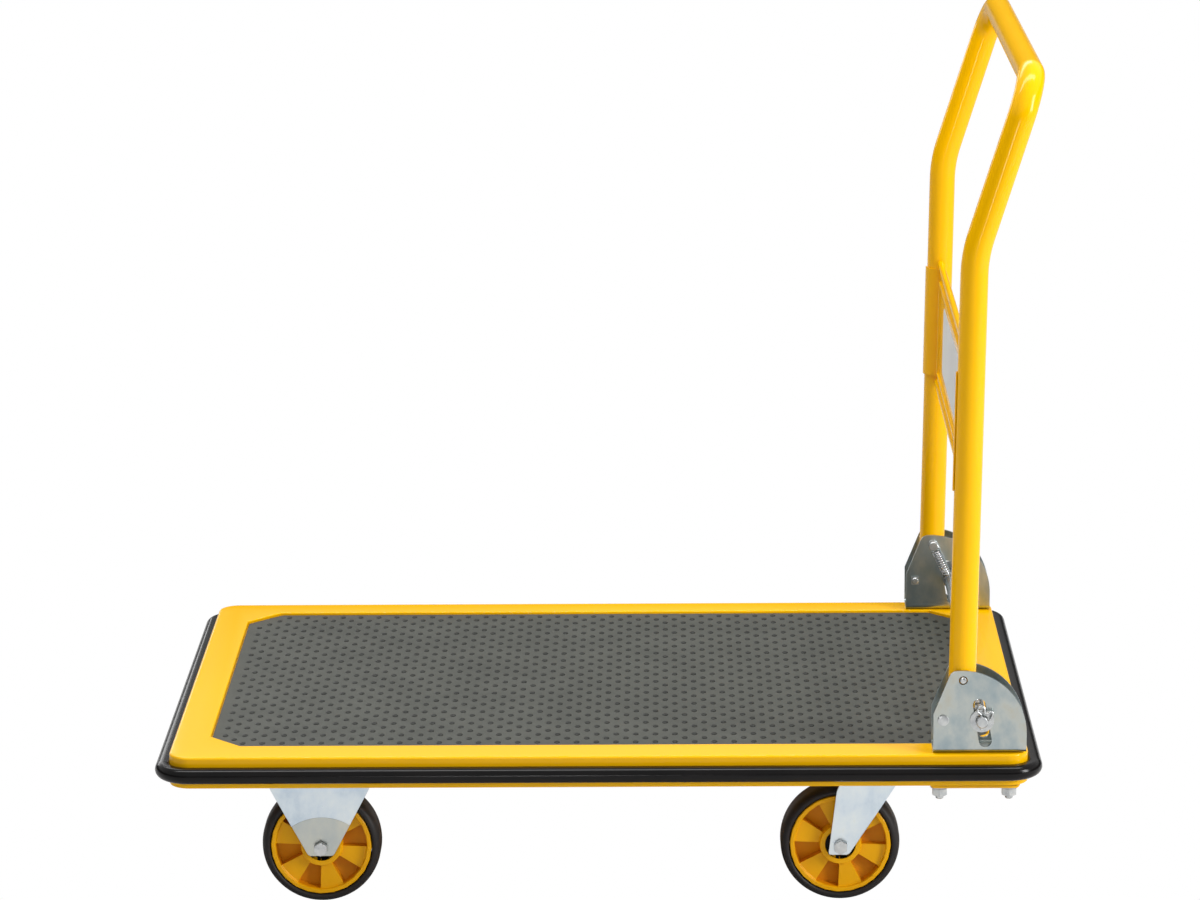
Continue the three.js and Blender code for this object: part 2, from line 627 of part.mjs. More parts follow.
function rigidFork() {
  const outline = [
    [-11.6, -9], [11.6, -9], [13.6, -7.5], [50, 62.5], [54, 76], [54, PLATE_TOP - 1],
    [-54, PLATE_TOP - 1], [-54, 76], [-50, 62.5], [-13.6, -7.5],
  ];
  const [halfX, halfY] = [RIGID_PLATE_HALF_X, PLATE_HALF_Y];
  const plate = box(-halfX, halfX, -halfY, halfY, PLATE_TOP - PLATE_SHEET, PLATE_TOP);
  return join(plate, ...cheeks(outline));
}

const RACE_RADIUS = 31;
const CROWN_TOP = PLATE_TOP - PLATE_SHEET - 13;
const KING_RADIUS = 5;

function swivelFork() {
  const outline = [
    [-10.3, -9.5], [7.6, -9.5], [9.6, -8.2], [13.5, -2], [55, 63], [SWIVEL_TRAIL + 29, CROWN_TOP - 1],
    [SWIVEL_TRAIL - 29, CROWN_TOP - 1], [-4, 60], [-12.3, -7],
  ];
  const crown = rodZ(RACE_RADIUS, SWIVEL_TRAIL, 0, CROWN_TOP - FORK_SHEET, CROWN_TOP, 20);
  return cut(join(crown, ...cheeks(outline)),
    rodZ(KING_RADIUS + 0.4, SWIVEL_TRAIL, 0, CROWN_TOP - 5, CROWN_TOP + 5, 14));
}

const turned = (section, sides) => latheY(section, sides).rotateX(Math.PI / 2);

// Ball race between the top plate and the fork's crown, one pressed cup.
function race() {
  const top = PLATE_TOP - PLATE_SHEET - CLEAR;
  const low = CROWN_TOP + CLEAR;
  return turned([
    [KING_RADIUS + 0.4, low], [RACE_RADIUS - 5, low], [RACE_RADIUS - 1, low + 3], [RACE_RADIUS, low + 7],
    [RACE_RADIUS - 4, top], [KING_RADIUS + 0.4, top],
  ], 20).translate(SWIVEL_TRAIL, 0, 0);
}

function topPlate() {
  const [x0, x1] = [SWIVEL_TRAIL - SWIVEL_PLATE_HALF_X, SWIVEL_TRAIL + SWIVEL_PLATE_HALF_X];
  const plate = box(x0, x1, -PLATE_HALF_Y, PLATE_HALF_Y, PLATE_TOP - PLATE_SHEET, PLATE_TOP);
  return cut(plate, rodZ(KING_RADIUS + 0.4, SWIVEL_TRAIL, 0, PLATE_TOP - 9, PLATE_TOP + 5, 14));
}

function kingpin() {
  const seat = CROWN_TOP - FORK_SHEET - CLEAR;
  return join(
    rodZ(KING_RADIUS, SWIVEL_TRAIL, 0, seat - 1, PLATE_TOP, 14), hexZ(16, SWIVEL_TRAIL, 0, seat - 6, seat),
  );
}

function castor(label, side, pieces) {
  const frame = new THREE.Group();
  pieces.forEach(([piece, geometry, material]) => add(`${piece}_${label}`, geometry, material, frame));
  add(`axle_bolt_${label}`, axleBolt(side), STEEL, frame);
  add(`axle_nut_${label}`, axleNut(side), STEEL, frame);
  add(`bush_${label}`, bush(), STEEL, frame);
  add(`hub_${label}`, hub(), HUB, frame);
  add(`tyre_${label}`, tyre(), RUBBER, frame);
  object.add(frame);
  return frame;
}

SIDES.forEach(([name, side]) => {
  castor(`front_${name}`, side, [['fork', rigidFork(), ZINC]])
    .position.set(RIGID_X, side * CASTOR_Y, WHEEL_RADIUS);
  castor(`rear_${name}`, side, [
    ['fork', swivelFork(), ZINC], ['race', race(), ZINC], ['top_plate', topPlate(), ZINC],
    ['kingpin', kingpin(), STEEL],
  ]).position.set(SWIVEL_X - SWIVEL_TRAIL, side * CASTOR_Y, WHEEL_RADIUS);
});

export default object;
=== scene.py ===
"""Folding platform cart: the visual model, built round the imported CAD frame."""

import math

import bmesh
import bpy
import numpy as np
from mathutils import Matrix, Vector


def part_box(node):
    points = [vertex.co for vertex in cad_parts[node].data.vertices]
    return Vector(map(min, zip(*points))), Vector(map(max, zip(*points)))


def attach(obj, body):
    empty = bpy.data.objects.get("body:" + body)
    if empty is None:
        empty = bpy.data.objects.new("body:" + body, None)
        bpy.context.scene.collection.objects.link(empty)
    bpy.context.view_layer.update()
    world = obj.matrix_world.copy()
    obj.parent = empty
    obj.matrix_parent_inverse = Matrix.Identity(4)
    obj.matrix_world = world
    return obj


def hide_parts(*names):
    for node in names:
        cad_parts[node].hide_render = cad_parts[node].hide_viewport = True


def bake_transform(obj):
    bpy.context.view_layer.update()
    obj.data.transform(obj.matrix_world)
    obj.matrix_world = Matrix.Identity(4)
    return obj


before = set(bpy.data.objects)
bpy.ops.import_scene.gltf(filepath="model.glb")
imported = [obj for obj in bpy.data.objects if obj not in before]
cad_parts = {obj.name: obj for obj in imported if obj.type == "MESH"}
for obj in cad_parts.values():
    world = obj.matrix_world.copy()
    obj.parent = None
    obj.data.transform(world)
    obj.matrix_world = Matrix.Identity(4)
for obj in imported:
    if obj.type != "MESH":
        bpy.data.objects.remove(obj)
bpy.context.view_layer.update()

MM = 0.001
TURN = 2 * math.pi
SIDES = (("near", -1), ("far", 1))


def box_mm(node):
    """Lowest and highest corner of a CAD node, in millimetres."""
    lo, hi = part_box(node)
    return np.array(lo) / MM, np.array(hi) / MM


# ---------------------------------------------------------------- places taken from the frame
deck_lo, deck_hi = box_mm("deck_pan")
bumper_lo, bumper_hi = box_mm("bumper")
mat_lo, mat_hi = box_mm("mat")
bracket_lo, bracket_hi = box_mm("bracket_far")
tube_lo, tube_hi = box_mm("handle_tube")
pivot_lo, pivot_hi = box_mm("pivot_pin_far")
stop_lo, stop_hi = box_mm("stop_pin_far")
rod_lo, rod_hi = box_mm("lock_rod")

CLEAR = 0.3
DECK_HALF_X = deck_hi[0]
DECK_HALF_Y = deck_hi[1]
DECK_TOP = deck_hi[2]
DECK_BOTTOM = deck_lo[2]
DECK_CORNER = 22
DECK_SHEET = 2
DECK_EDGE = 2.5
RIM_BAND = 22  # the outer band of the rim falls slightly towards the edge
RIM_FALL = 0.9
RECESS_FLOOR = mat_lo[2] - CLEAR
MAT_HALF_X = mat_hi[0]
MAT_HALF_Y = mat_hi[1]
MAT_CHAMFER = 34
BUMPER_DEPTH = bumper_hi[0] - DECK_HALF_X
BUMPER_Z = (bumper_lo[2] + bumper_hi[2]) / 2
BUMPER_HALF = (bumper_hi[2] - bumper_lo[2]) / 2

POST_Y = (bracket_lo[1] + bracket_hi[1]) / 2
CHEEK_OUT = (bracket_hi[1] - bracket_lo[1]) / 2
BRACKET_SHEET = 2.5
BRACKET_X = bracket_lo[0]
BRACKET_BASE = bracket_lo[2]
PIVOT = ((pivot_lo[0] + pivot_hi[0]) / 2, (pivot_lo[2] + pivot_hi[2]) / 2)
STOP = ((stop_lo[0] + stop_hi[0]) / 2, (stop_lo[2] + stop_hi[2]) / 2)
ROD = ((rod_lo[0] + rod_hi[0]) / 2, (rod_lo[2] + rod_hi[2]) / 2)
ROD_END = rod_hi[1]
ROD_RADIUS = 5.9
SLOT_ANGLE = math.atan2(6.5, 38)
SLOT_HALF = 6.5

TUBE_RADIUS = 14
TUBE_WALL = 1.6
POST_LEAN = 0.019
POST_BOTTOM = tube_lo[2] + 6  # the visible post ends a little above the CAD one
PIN_HOLE = 3.8
BEND_Z = 682
GRIP = (tube_hi[0] - TUBE_RADIUS, tube_hi[2] - TUBE_RADIUS)
BEND_RADIUS = 140
GRIP_RADIUS = 42

WHEEL_RADIUS = (box_mm("tyre_front_far")[1][2] - box_mm("tyre_front_far")[0][2]) / 2
HALF_WHEEL = 19
HUB_RADIUS = 52
CHEEK_IN = 23
FORK_SHEET = 2.5
CASTOR_Y = 239
PLATE_BOTTOM = 147.5
PLATE_HALF_Y = 42
PLATE_CORNER = 9

BOLT_FLATS = 13
BOLT_HEAD = 5.3
CHAMFER_ANGLE = math.radians(28)


# ---------------------------------------------------------------- closed forms as (points, faces)
def arc(cx, cy, radius, start, end, steps):
    angles = np.linspace(start, end, steps + 1)
    return [(cx + radius * math.cos(a), cy + radius * math.sin(a)) for a in angles]


def circle(cx, cy, radius, steps=32):
    return arc(cx, cy, radius, 0, TURN, steps)[:-1]


def skin(rings, ends="caps"):
    """Faces over rings of equal length; ends is 'caps' or 'loop'."""
    count = len(rings[0])
    points = [p for ring in rings for p in ring]
    spans = len(rings) if ends == "loop" else len(rings) - 1
    faces = []
    for r in range(spans):
        low, high = r * count, (r + 1) % len(rings) * count
        for i in range(count):
            j = (i + 1) % count
            faces.append((low + i, low + j, high + j, high + i))
    if ends == "caps":
        faces.append(tuple(reversed(range(count))))
        faces.append(tuple(range(len(points) - count, len(points))))
    return points, faces


def lathe(section, sides=48):
    """Closed (radius, z) section turned about Z; a radius of 0 may start and end an open one."""
    solid = section[0][0] < 1e-6 and section[-1][0] < 1e-6
    inner = section[1:-1] if solid else section
    angles = [TURN * k / sides for k in range(sides)]
    rings = [[(r * math.cos(a), r * math.sin(a), z) for a in angles] for r, z in inner]
    if not solid:
        return skin(rings, "loop")
    points, faces = skin(rings, "open")
    points += [(0, 0, section[0][1]), (0, 0, section[-1][1])]
    last = (len(rings) - 1) * sides
    for k in range(sides):
        j = (k + 1) % sides
        faces.append((len(points) - 2, j, k))
        faces.append((len(points) - 1, last + k, last + j))
    return points, faces


def rounded(section, radius, steps=3):
    """Rounds each corner of a closed 2D loop by about radius."""
    out = []
    count = len(section)
    for i in range(count):
        corner = np.array(section[i], float)
        back = np.array(section[i - 1], float) - corner
        on = np.array(section[(i + 1) % count], float) - corner
        reach = min(radius, 0.45 * np.linalg.norm(back), 0.45 * np.linalg.norm(on))
        a = corner + back / np.linalg.norm(back) * reach
        b = corner + on / np.linalg.norm(on) * reach
        for t in np.linspace(0, 1, steps + 1):
            p = a * (1 - t) ** 2 + 2 * corner * t * (1 - t) + b * t**2
            out.append(tuple(p))
    return out


def prism_xz(outline, y0, y1):
    """Outline in X and Z, standing between two Y stations."""
    return skin([[(x, y, z) for x, z in outline] for y in (y0, y1)])


def prism_yz(outline, x0, x1):
    return skin([[(x, y, z) for y, z in outline] for x in (x0, x1)])


def prism_xy(outline, z0, z1):
    return skin([[(x, y, z) for x, y in outline] for z in (z0, z1)])


def block(x0, x1, y0, y1, z0, z1):
    return prism_xy([(x0, y0), (x1, y0), (x1, y1), (x0, y1)], z0, z1)


def moved(shape, matrix):
    points, faces = shape
    return [tuple(matrix @ Vector(p)) for p in points], faces


def at(x, y, z):
    return Matrix.Translation((x, y, z))


def along_y(x, y, z, side=1):
    """Local Z becomes the world's +Y, or -Y for side -1."""
    turn = Matrix.Rotation(-side * math.pi / 2, 4, "X")
    return at(x, y, z) @ turn


def sweep(path, radius, sides):
    """Rings of a round wire along a list of points."""
    pts = [Vector(p) for p in path]
    last = len(pts) - 1
    ahead = [(pts[min(i + 1, last)] - pts[max(i - 1, 0)]).normalized() for i in range(len(pts))]
    side = Vector((0, 1, 0)).cross(ahead[0])
    if side.length < 0.1:
        side = Vector((1, 0, 0)).cross(ahead[0])
    rings = []
    for i, p in enumerate(pts):
        side = (side - ahead[i] * side.dot(ahead[i])).normalized()
        other = ahead[i].cross(side)
        ring = []
        for k in range(sides):
            a = TURN * k / sides
            ring.append(tuple(p + side * (radius * math.cos(a)) + other * (radius * math.sin(a))))
        rings.append(ring)
    return rings


def wire(path, radius, sides):
    return skin(sweep(path, radius, sides))


def hex_prism(flats, height, bottom=False, sides=72):
    """Hexagon head or nut from z 0 up, its corners turned off at the top and, if asked, the bottom."""
    inner = flats / 2
    turned = inner * 0.97

    def edge(angle):
        folded = (angle + TURN / 12) % (TURN / 6) - TURN / 12
        return inner / math.cos(folded)

    angles = [TURN * k / sides for k in range(sides)]
    drop = [(edge(a) - turned) * math.tan(CHAMFER_ANGLE) for a in angles]

    def ring(radii, heights):
        return [(r * math.cos(a), r * math.sin(a), z) for r, a, z in zip(radii, angles, heights)]

    full = [edge(a) for a in angles]
    flat = [turned] * sides
    rings = []
    if bottom:
        rings += [ring(flat, [0] * sides), ring(full, drop)]
    else:
        rings += [ring(full, [0] * sides)]
    rings += [ring(full, [height - d for d in drop]), ring(flat, [height] * sides)]
    return skin(rings)


# ---------------------------------------------------------------- objects
def link(name, shapes):
    """One object from a list of closed forms given in millimetres."""
    points, faces = [], []
    for shape_points, shape_faces in shapes:
        start = len(points)
        points += [(x * MM, y * MM, z * MM) for x, y, z in shape_points]
        faces += [tuple(i + start for i in f) for f in shape_faces]
    mesh = bpy.data.meshes.new(name)
    mesh.from_pydata(points, [], faces)
    obj = bpy.data.objects.new(name, mesh)
    bpy.context.scene.collection.objects.link(obj)
    tidy(obj)
    return obj


def tidy(obj):
    bm = bmesh.new()
    bm.from_mesh(obj.data)
    bmesh.ops.remove_doubles(bm, verts=bm.verts, dist=2e-6)
    bmesh.ops.dissolve_degenerate(bm, edges=bm.edges, dist=1e-6)
    bmesh.ops.recalc_face_normals(bm, faces=bm.faces)
    bm.to_mesh(obj.data)
    bm.free()


def apply_modifiers(obj):
    bpy.context.view_layer.update()
    graph = bpy.context.evaluated_depsgraph_get()
    mesh = bpy.data.meshes.new_from_object(obj.evaluated_get(graph))
    obj.modifiers.clear()
    old = obj.data
    obj.data = mesh
    mesh.name = obj.name
    bpy.data.meshes.remove(old)


def combine(obj, tools, operation="DIFFERENCE"):
    """Boolean of obj with a list of closed forms, one after another."""
    for k, tool in enumerate(tools):
        cutter = link(f"tool_{k}", [tool])
        modifier = obj.modifiers.new("cut", "BOOLEAN")
        modifier.operation = operation
        modifier.solver = "EXACT"
        modifier.object = cutter
        apply_modifiers(obj)
        bpy.data.objects.remove(cutter)
    tidy(obj)
    return obj


def bevel(obj, width, segments=2, angle=40):
    modifier = obj.modifiers.new("edge", "BEVEL")
    modifier.width = width * MM
    modifier.segments = segments
    modifier.limit_method = "ANGLE"
    modifier.angle_limit = math.radians(angle)
    modifier.use_clamp_overlap = True
    apply_modifiers(obj)
    tidy(obj)
    return obj


def shade(obj, angle=32):
    """Smooth shading that leaves flat faces flat."""
    obj.data.shade_smooth()
    obj.data.set_sharp_from_angle(angle=math.radians(angle))
    modifier = obj.modifiers.new("normals", "WEIGHTED_NORMAL")
    modifier.mode = "FACE_AREA"
    modifier.weight = 100
    modifier.keep_sharp = True
    apply_modifiers(obj)


def place(obj, body, material, nodes=(), angle=32):
    """Finishes a piece: shading, material, body and any CAD nodes it stands for."""
    shade(obj, angle)
    obj.data.materials.clear()
    for m in material if isinstance(material, (list, tuple)) else [material]:
        obj.data.materials.append(m)
    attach(obj, body)
    if nodes:
        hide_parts(*nodes)
    return obj


# ---------------------------------------------------------------- materials
class Nodes:
    """A principled material with the few node chains used here."""

    def __init__(self, name, **inputs):
        self.material = bpy.data.materials.new(name)
        self.material.use_nodes = True
        self.tree = self.material.node_tree
        self.shader = self.tree.nodes["Principled BSDF"]
        self.place = self.tree.nodes.new("ShaderNodeTexCoord").outputs["Object"]
        for key, value in inputs.items():
            self.shader.inputs[key.replace("_", " ")].default_value = value

    def node(self, kind, **values):
        made = self.tree.nodes.new(kind)
        for key, value in values.items():
            made.inputs[key].default_value = value
        return made

    def noise(self, scale, detail=3.0, roughness=0.5, stretch=(1, 1, 1)):
        mapping = self.node("ShaderNodeMapping")
        mapping.inputs["Scale"].default_value = stretch
        self.tree.links.new(self.place, mapping.inputs["Vector"])
        made = self.node("ShaderNodeTexNoise", Scale=scale, Detail=detail, Roughness=roughness)
        self.tree.links.new(mapping.outputs["Vector"], made.inputs["Vector"])
        return made.outputs["Fac"]

    def ramp(self, source, stops):
        made = self.tree.nodes.new("ShaderNodeValToRGB")
        elements = made.color_ramp.elements
        for _ in stops[2:]:
            elements.new(0.5)
        for element, (position, colour) in zip(elements, stops):
            element.position = position
            value = colour if isinstance(colour, tuple) else (colour,) * 3
            element.color = (*value, 1)
        self.tree.links.new(source, made.inputs["Fac"])
        return made.outputs["Color"]

    def colour(self, output):
        self.tree.links.new(output, self.shader.inputs["Base Color"])
        return self

    def rough(self, source, low, high):
        made = self.node("ShaderNodeMapRange")
        made.inputs["To Min"].default_value = low
        made.inputs["To Max"].default_value = high
        self.tree.links.new(source, made.inputs["Value"])
        self.tree.links.new(made.outputs["Result"], self.shader.inputs["Roughness"])
        return self

    def bump(self, source, strength, distance):
        made = self.node("ShaderNodeBump")
        made.inputs["Strength"].default_value = strength
        made.inputs["Distance"].default_value = distance
        self.tree.links.new(source, made.inputs["Height"])
        self.tree.links.new(made.outputs["Normal"], self.shader.inputs["Normal"])
        return self


def powder_coat():
    m = Nodes("powder_coat", Metallic=0.0, IOR=1.45, Specular_IOR_Level=0.24)
    m.colour(m.ramp(m.noise(5, 2), [(0.3, (0.93, 0.485, 0.0)), (0.7, (0.95, 0.50, 0.0))]))
    m.rough(m.noise(14, 3), 0.11, 0.17)
    return m.bump(m.noise(380, 1), 0.05, 0.00008).material


def zinc(name, dark, middle, light, warm):
    m = Nodes(name, Metallic=1.0, IOR=1.6)
    clouds = m.noise(24, 6, 0.62, (1, 1, 0.7))
    m.colour(m.ramp(clouds, [(0.30, dark), (0.46, middle), (0.58, light), (0.74, warm)]))
    m.rough(m.noise(60, 4, 0.6), 0.24, 0.36)
    return m.bump(m.noise(900, 2), 0.08, 0.0001).material


def steel(name, dark, light, low, high):
    m = Nodes(name, Metallic=0.95, IOR=1.6)
    m.colour(m.ramp(m.noise(140, 4), [(0.3, dark), (0.7, light)]))
    m.rough(m.noise(300, 3), low, high)
    return m.bump(m.noise(1400, 2), 0.08, 0.0001).material


def rubber(name, dark, light, low, high, grain, gloss):
    m = Nodes(name, Metallic=0.0, IOR=1.45, Specular_IOR_Level=gloss)
    m.colour(m.ramp(m.noise(18, 4), [(0.3, dark), (0.7, light)]))
    m.rough(m.noise(90, 4), low, high)
    return m.bump(m.noise(1100, 3), grain, 0.0002).material


def nylon(name, dark, light, low, high):
    m = Nodes(name, Metallic=0.0, IOR=1.5, Specular_IOR_Level=0.18)
    m.colour(m.ramp(m.noise(30, 3), [(0.3, dark), (0.7, light)]))
    m.rough(m.noise(120, 3), low, high)
    return m.bump(m.noise(800, 2), 0.1, 0.0002).material


def label_film():
    m = Nodes("label_film", Metallic=0.0, IOR=1.45)
    m.colour(m.ramp(m.noise(9, 2), [(0.3, (0.66, 0.67, 0.66)), (0.7, (0.74, 0.75, 0.73))]))
    return m.rough(m.noise(60, 2), 0.38, 0.5).material


PAINT = powder_coat()
ZINC = zinc("zinc_plate", (0.28, 0.36, 0.40), (0.40, 0.46, 0.47), (0.52, 0.55, 0.52), (0.52, 0.49, 0.39))
FORK_ZINC = zinc("zinc_fork", (0.52, 0.62, 0.72), (0.68, 0.76, 0.82), (0.76, 0.82, 0.84), (0.72, 0.72, 0.60))
WORN_ZINC = zinc("zinc_worn", (0.46, 0.50, 0.50), (0.54, 0.56, 0.52), (0.60, 0.60, 0.53), (0.56, 0.52, 0.40))
STEEL = steel("bright_steel", (0.46, 0.48, 0.49), (0.66, 0.67, 0.66), 0.22, 0.38)
SPRING = steel("spring_wire", (0.50, 0.51, 0.52), (0.74, 0.75, 0.76), 0.12, 0.2)
BUMPER = rubber("bumper_rubber", (0.003, 0.003, 0.003), (0.006, 0.005, 0.005), 0.15, 0.21, 0.03, 0.24)
TYRE = rubber("tyre_rubber", (0.012, 0.010, 0.010), (0.020, 0.017, 0.016), 0.42, 0.6, 0.2, 0.35)
VINYL = rubber("mat_vinyl", (0.050, 0.053, 0.044), (0.065, 0.068, 0.057), 0.5, 0.62, 0.35, 0.3)
# Darker stud material: its darkness is painted shade standing for the shaded near sides of the studs.
STUD_SHADE = rubber("mat_stud_shade", (0.014, 0.015, 0.013), (0.022, 0.023, 0.020), 0.4, 0.5, 0.1, 0.16)
NYLON = nylon("hub_nylon", (0.76, 0.36, 0.0), (0.82, 0.40, 0.0), 0.3, 0.42)
# Darker copy of the hub nylon: painted shade for the hub's deep pockets.
NYLON_POCKET_SHADE = nylon("hub_nylon_pocket_shade", (0.58, 0.20, 0.0), (0.66, 0.245, 0.0), 0.45, 0.6)
# Near black for the bearing seal and bush; the darkness also paints the shade inside the hub's bore.
SEAL_AND_BORE_SHADE = rubber("bearing_seal_and_bore_shade", (0.006, 0.006, 0.007), (0.010, 0.009, 0.009), 0.3, 0.45, 0.1, 0.2)
LABEL = label_film()


# ---------------------------------------------------------------- deck
CORNER_STEPS = 12


def rectangle(half_x, half_y, corner, chamfer=False):
    """Rounded or chamfered rectangle with the same number of points whatever its size."""
    points = []
    for quarter in range(4):
        sx = 1 if quarter in (0, 3) else -1
        sy = 1 if quarter < 2 else -1
        cx, cy = sx * (half_x - corner), sy * (half_y - corner)
        start = quarter * math.pi / 2
        x0, y0 = math.cos(start), math.sin(start)
        for i in range(CORNER_STEPS + 1):
            t = i / CORNER_STEPS
            if chamfer:
                dx, dy = x0 * (1 - t) - y0 * t, y0 * (1 - t) + x0 * t
            else:
                dx, dy = math.cos(start + t * math.pi / 2), math.sin(start + t * math.pi / 2)
            points.append((cx + corner * dx, cy + corner * dy))
    return points


def deck_ring(out, z):
    outline = rectangle(DECK_HALF_X + out, DECK_HALF_Y + out, DECK_CORNER + out)
    return [(x, y, z) for x, y in outline]


def recess_ring(out, z):
    outline = rectangle(MAT_HALF_X + 1.2 + out, MAT_HALF_Y + 1.2 + out, MAT_CHAMFER + 0.4 * out, True)
    return [(x, y, z) for x, y in outline]


def deck_pan():
    fall = DECK_TOP - RIM_FALL
    edge = arc(-DECK_EDGE, fall - DECK_EDGE, DECK_EDGE, 0, math.pi / 2, 6)
    lip = arc(1.6, DECK_TOP - 1.6, 1.6, math.pi / 2, math.pi, 5)
    rings = [recess_ring(DECK_SHEET, z - DECK_SHEET) for z in (RECESS_FLOOR, DECK_TOP)]
    rings += [deck_ring(-RIM_BAND, DECK_TOP - DECK_SHEET), deck_ring(-DECK_SHEET - 1, fall - DECK_SHEET)]
    rings += [deck_ring(-DECK_SHEET, fall - DECK_SHEET - 1)]
    rings += [deck_ring(-DECK_SHEET, DECK_BOTTOM + 0.6), deck_ring(-DECK_SHEET + 0.6, DECK_BOTTOM)]
    rings += [deck_ring(-0.6, DECK_BOTTOM), deck_ring(0, DECK_BOTTOM + 0.6)]
    rings += [deck_ring(out, z) for out, z in edge]
    rings += [deck_ring(-RIM_BAND, DECK_TOP)]
    rings += [recess_ring(out, z) for out, z in lip]
    rings += [recess_ring(0, RECESS_FLOOR)]
    pan = link("deck_pan_visual", [skin(rings)])
    place(pan, "platform", PAINT, ["deck_pan"])


def bumper():
    half = BUMPER_HALF
    section = [(CLEAR, -half + 1.8), (1.4, -half + 0.4), (4.5, -half)]
    section += arc(BUMPER_DEPTH - half, 0, half, -math.radians(80), math.radians(80), 20)
    section += [(4.5, half), (2.2, half - 0.2), (0.8, half - 1.0), (CLEAR, half - 2.2)]
    rings = [deck_ring(out, BUMPER_Z + z) for out, z in section]
    ring = link("bumper_visual", [skin(rings, "loop")])
    place(ring, "platform", BUMPER, ["bumper"], 50)


STUD_PITCH_X = 20.3
STUD_PITCH_Y = 27.2
STUD_RADIUS = (3.1, 4.6)
STUD_HEIGHT = 0.8
STUD_ANCHOR = (-367.5, 185.8)  # the centre of one stud, which places the pattern on the mat
STUD_MARGIN = 7


def stud(x, y, top):
    """Low oval stud of the anti-slip pattern."""
    rings = []
    for share, rise in ((1, -0.3), (1, 0.1), (0.86, 0.62), (0.5, 0.92)):
        rx, ry = STUD_RADIUS[0] * share, STUD_RADIUS[1] * share
        rings.append([(x + rx * c, y + ry * d, top + STUD_HEIGHT * rise) for c, d in circle(0, 0, 1, 12)])
    return skin(rings)


def mat_outline(inset):
    """Rectangle with chamfered corners, and those corners slightly rounded."""
    points = rectangle(MAT_HALF_X - inset, MAT_HALF_Y - inset, MAT_CHAMFER, True)
    corners = [p for i, p in enumerate(points) if i % (CORNER_STEPS + 1) in (0, CORNER_STEPS)]
    return rounded(corners, 3, 4)


def mat():
    top = mat_hi[2]
    low = mat_lo[2]
    outline = mat_outline(0)
    inner = mat_outline(0.5)
    rings = [[(x, y, low) for x, y in outline], [(x, y, top - 0.5) for x, y in outline],
             [(x, y, top) for x, y in inner]]
    shapes = [skin(rings)]
    for row in range(-20, 21):
        y = STUD_ANCHOR[1] % (STUD_PITCH_Y / 2) + row * STUD_PITCH_Y / 2
        for column in range(-22, 23):
            x = STUD_ANCHOR[0] % STUD_PITCH_X + (column + 0.5 * (row % 2)) * STUD_PITCH_X
            reach = (MAT_HALF_X - abs(x)) + (MAT_HALF_Y - abs(y)) - MAT_CHAMFER
            inside = abs(x) < MAT_HALF_X - STUD_MARGIN and abs(y) < MAT_HALF_Y - STUD_MARGIN
            if inside and reach > STUD_MARGIN * 1.3:
                shapes.append(stud(x, y, top))
    sheet = link("mat_visual", shapes)
    place(sheet, "platform", [VINYL, STUD_SHADE], ["mat"], 50)
    # The stud tops take the darker material: painted shade on the studs.
    limit = (top - 0.45) * MM
    for polygon in sheet.data.polygons:
        small = polygon.area < (12 * MM) ** 2
        polygon.material_index = 1 if small and polygon.center.z > limit else 0
    return sheet


def channel(x, width, low, high, half_y, sheet=2.5, bend=2.5):
    """Folded channel across the cart, web down."""
    x0, x1 = x - width / 2, x + width / 2
    outer = bend + sheet
    outline = [(x0, high)]
    outline += arc(x0 + outer, low + outer, outer, math.pi, 1.5 * math.pi, 6)
    outline += arc(x1 - outer, low + outer, outer, 1.5 * math.pi, TURN, 6)
    outline += [(x1, high), (x1 - sheet, high)]
    outline += arc(x1 - outer, low + outer, bend, TURN, 1.5 * math.pi, 6)
    outline += arc(x0 + outer, low + outer, bend, 1.5 * math.pi, math.pi, 6)
    outline += [(x0 + sheet, high)]
    return prism_xz(outline, -half_y, half_y)


def cross_members():
    for name in ("front_cross_member", "rear_cross_member", "handle_cross_member"):
        lo, hi = box_mm(name)
        shape = channel((lo[0] + hi[0]) / 2, hi[0] - lo[0], lo[2], hi[2], hi[1])
        place(link(f"{name}_visual", [shape]), "platform", PAINT, [name])


# ---------------------------------------------------------------- brackets
SLOT_DOWN = (math.sin(SLOT_ANGLE), -math.cos(SLOT_ANGLE))


def slot_outline():
    top = (ROD[0] - SLOT_DOWN[0] * 16.4, ROD[1] - SLOT_DOWN[1] * 16.4)
    bottom = (ROD[0] + SLOT_DOWN[0] * 22, ROD[1] + SLOT_DOWN[1] * 22)
    upper = arc(*top, SLOT_HALF, SLOT_ANGLE, SLOT_ANGLE + math.pi, 14)
    return upper + arc(*bottom, SLOT_HALF, SLOT_ANGLE + math.pi, SLOT_ANGLE + TURN, 14)


def bracket(name, side):
    y = side * POST_Y
    outline = [(0, 0), (95, 0)] + arc(28, 20, 67, 0, math.pi / 2, 44)
    outline += [(24, 86.9), (21.6, 86.3), (19.4, 85.2), (17.4, 83.2), (15.5, 79.5), (0, 41.5)]
    outline = [(BRACKET_X + x, BRACKET_BASE + z) for x, z in outline]
    half, sheet, bend, high = CHEEK_OUT, BRACKET_SHEET, 2.2, BRACKET_BASE + 95
    outer = bend + sheet
    low = BRACKET_BASE
    u = [(y - half, high)]
    u += arc(y - half + outer, low + outer, outer, math.pi, 1.5 * math.pi, 8)
    u += arc(y + half - outer, low + outer, outer, 1.5 * math.pi, TURN, 8)
    u += [(y + half, high), (y + half - sheet, high)]
    u += arc(y + half - outer, low + outer, bend, TURN, 1.5 * math.pi, 8)
    u += arc(y - half + outer, low + outer, bend, 1.5 * math.pi, math.pi, 8)
    u += [(y - half + sheet, high)]
    piece = link(f"bracket_{name}_visual", [prism_yz(u, BRACKET_X - 5, BRACKET_X + 100)])
    wide = (y - half - 5, y + half + 5)
    combine(piece, [prism_xz(outline, *wide)], "INTERSECT")
    combine(piece, [prism_xz(slot_outline(), *wide), prism_xz(circle(*PIVOT, 4.5), *wide),
                    prism_xz(circle(*STOP, 4.3), *wide)])
    bevel(piece, 0.45, 2)
    place(piece, "platform", ZINC, [f"bracket_{name}"])


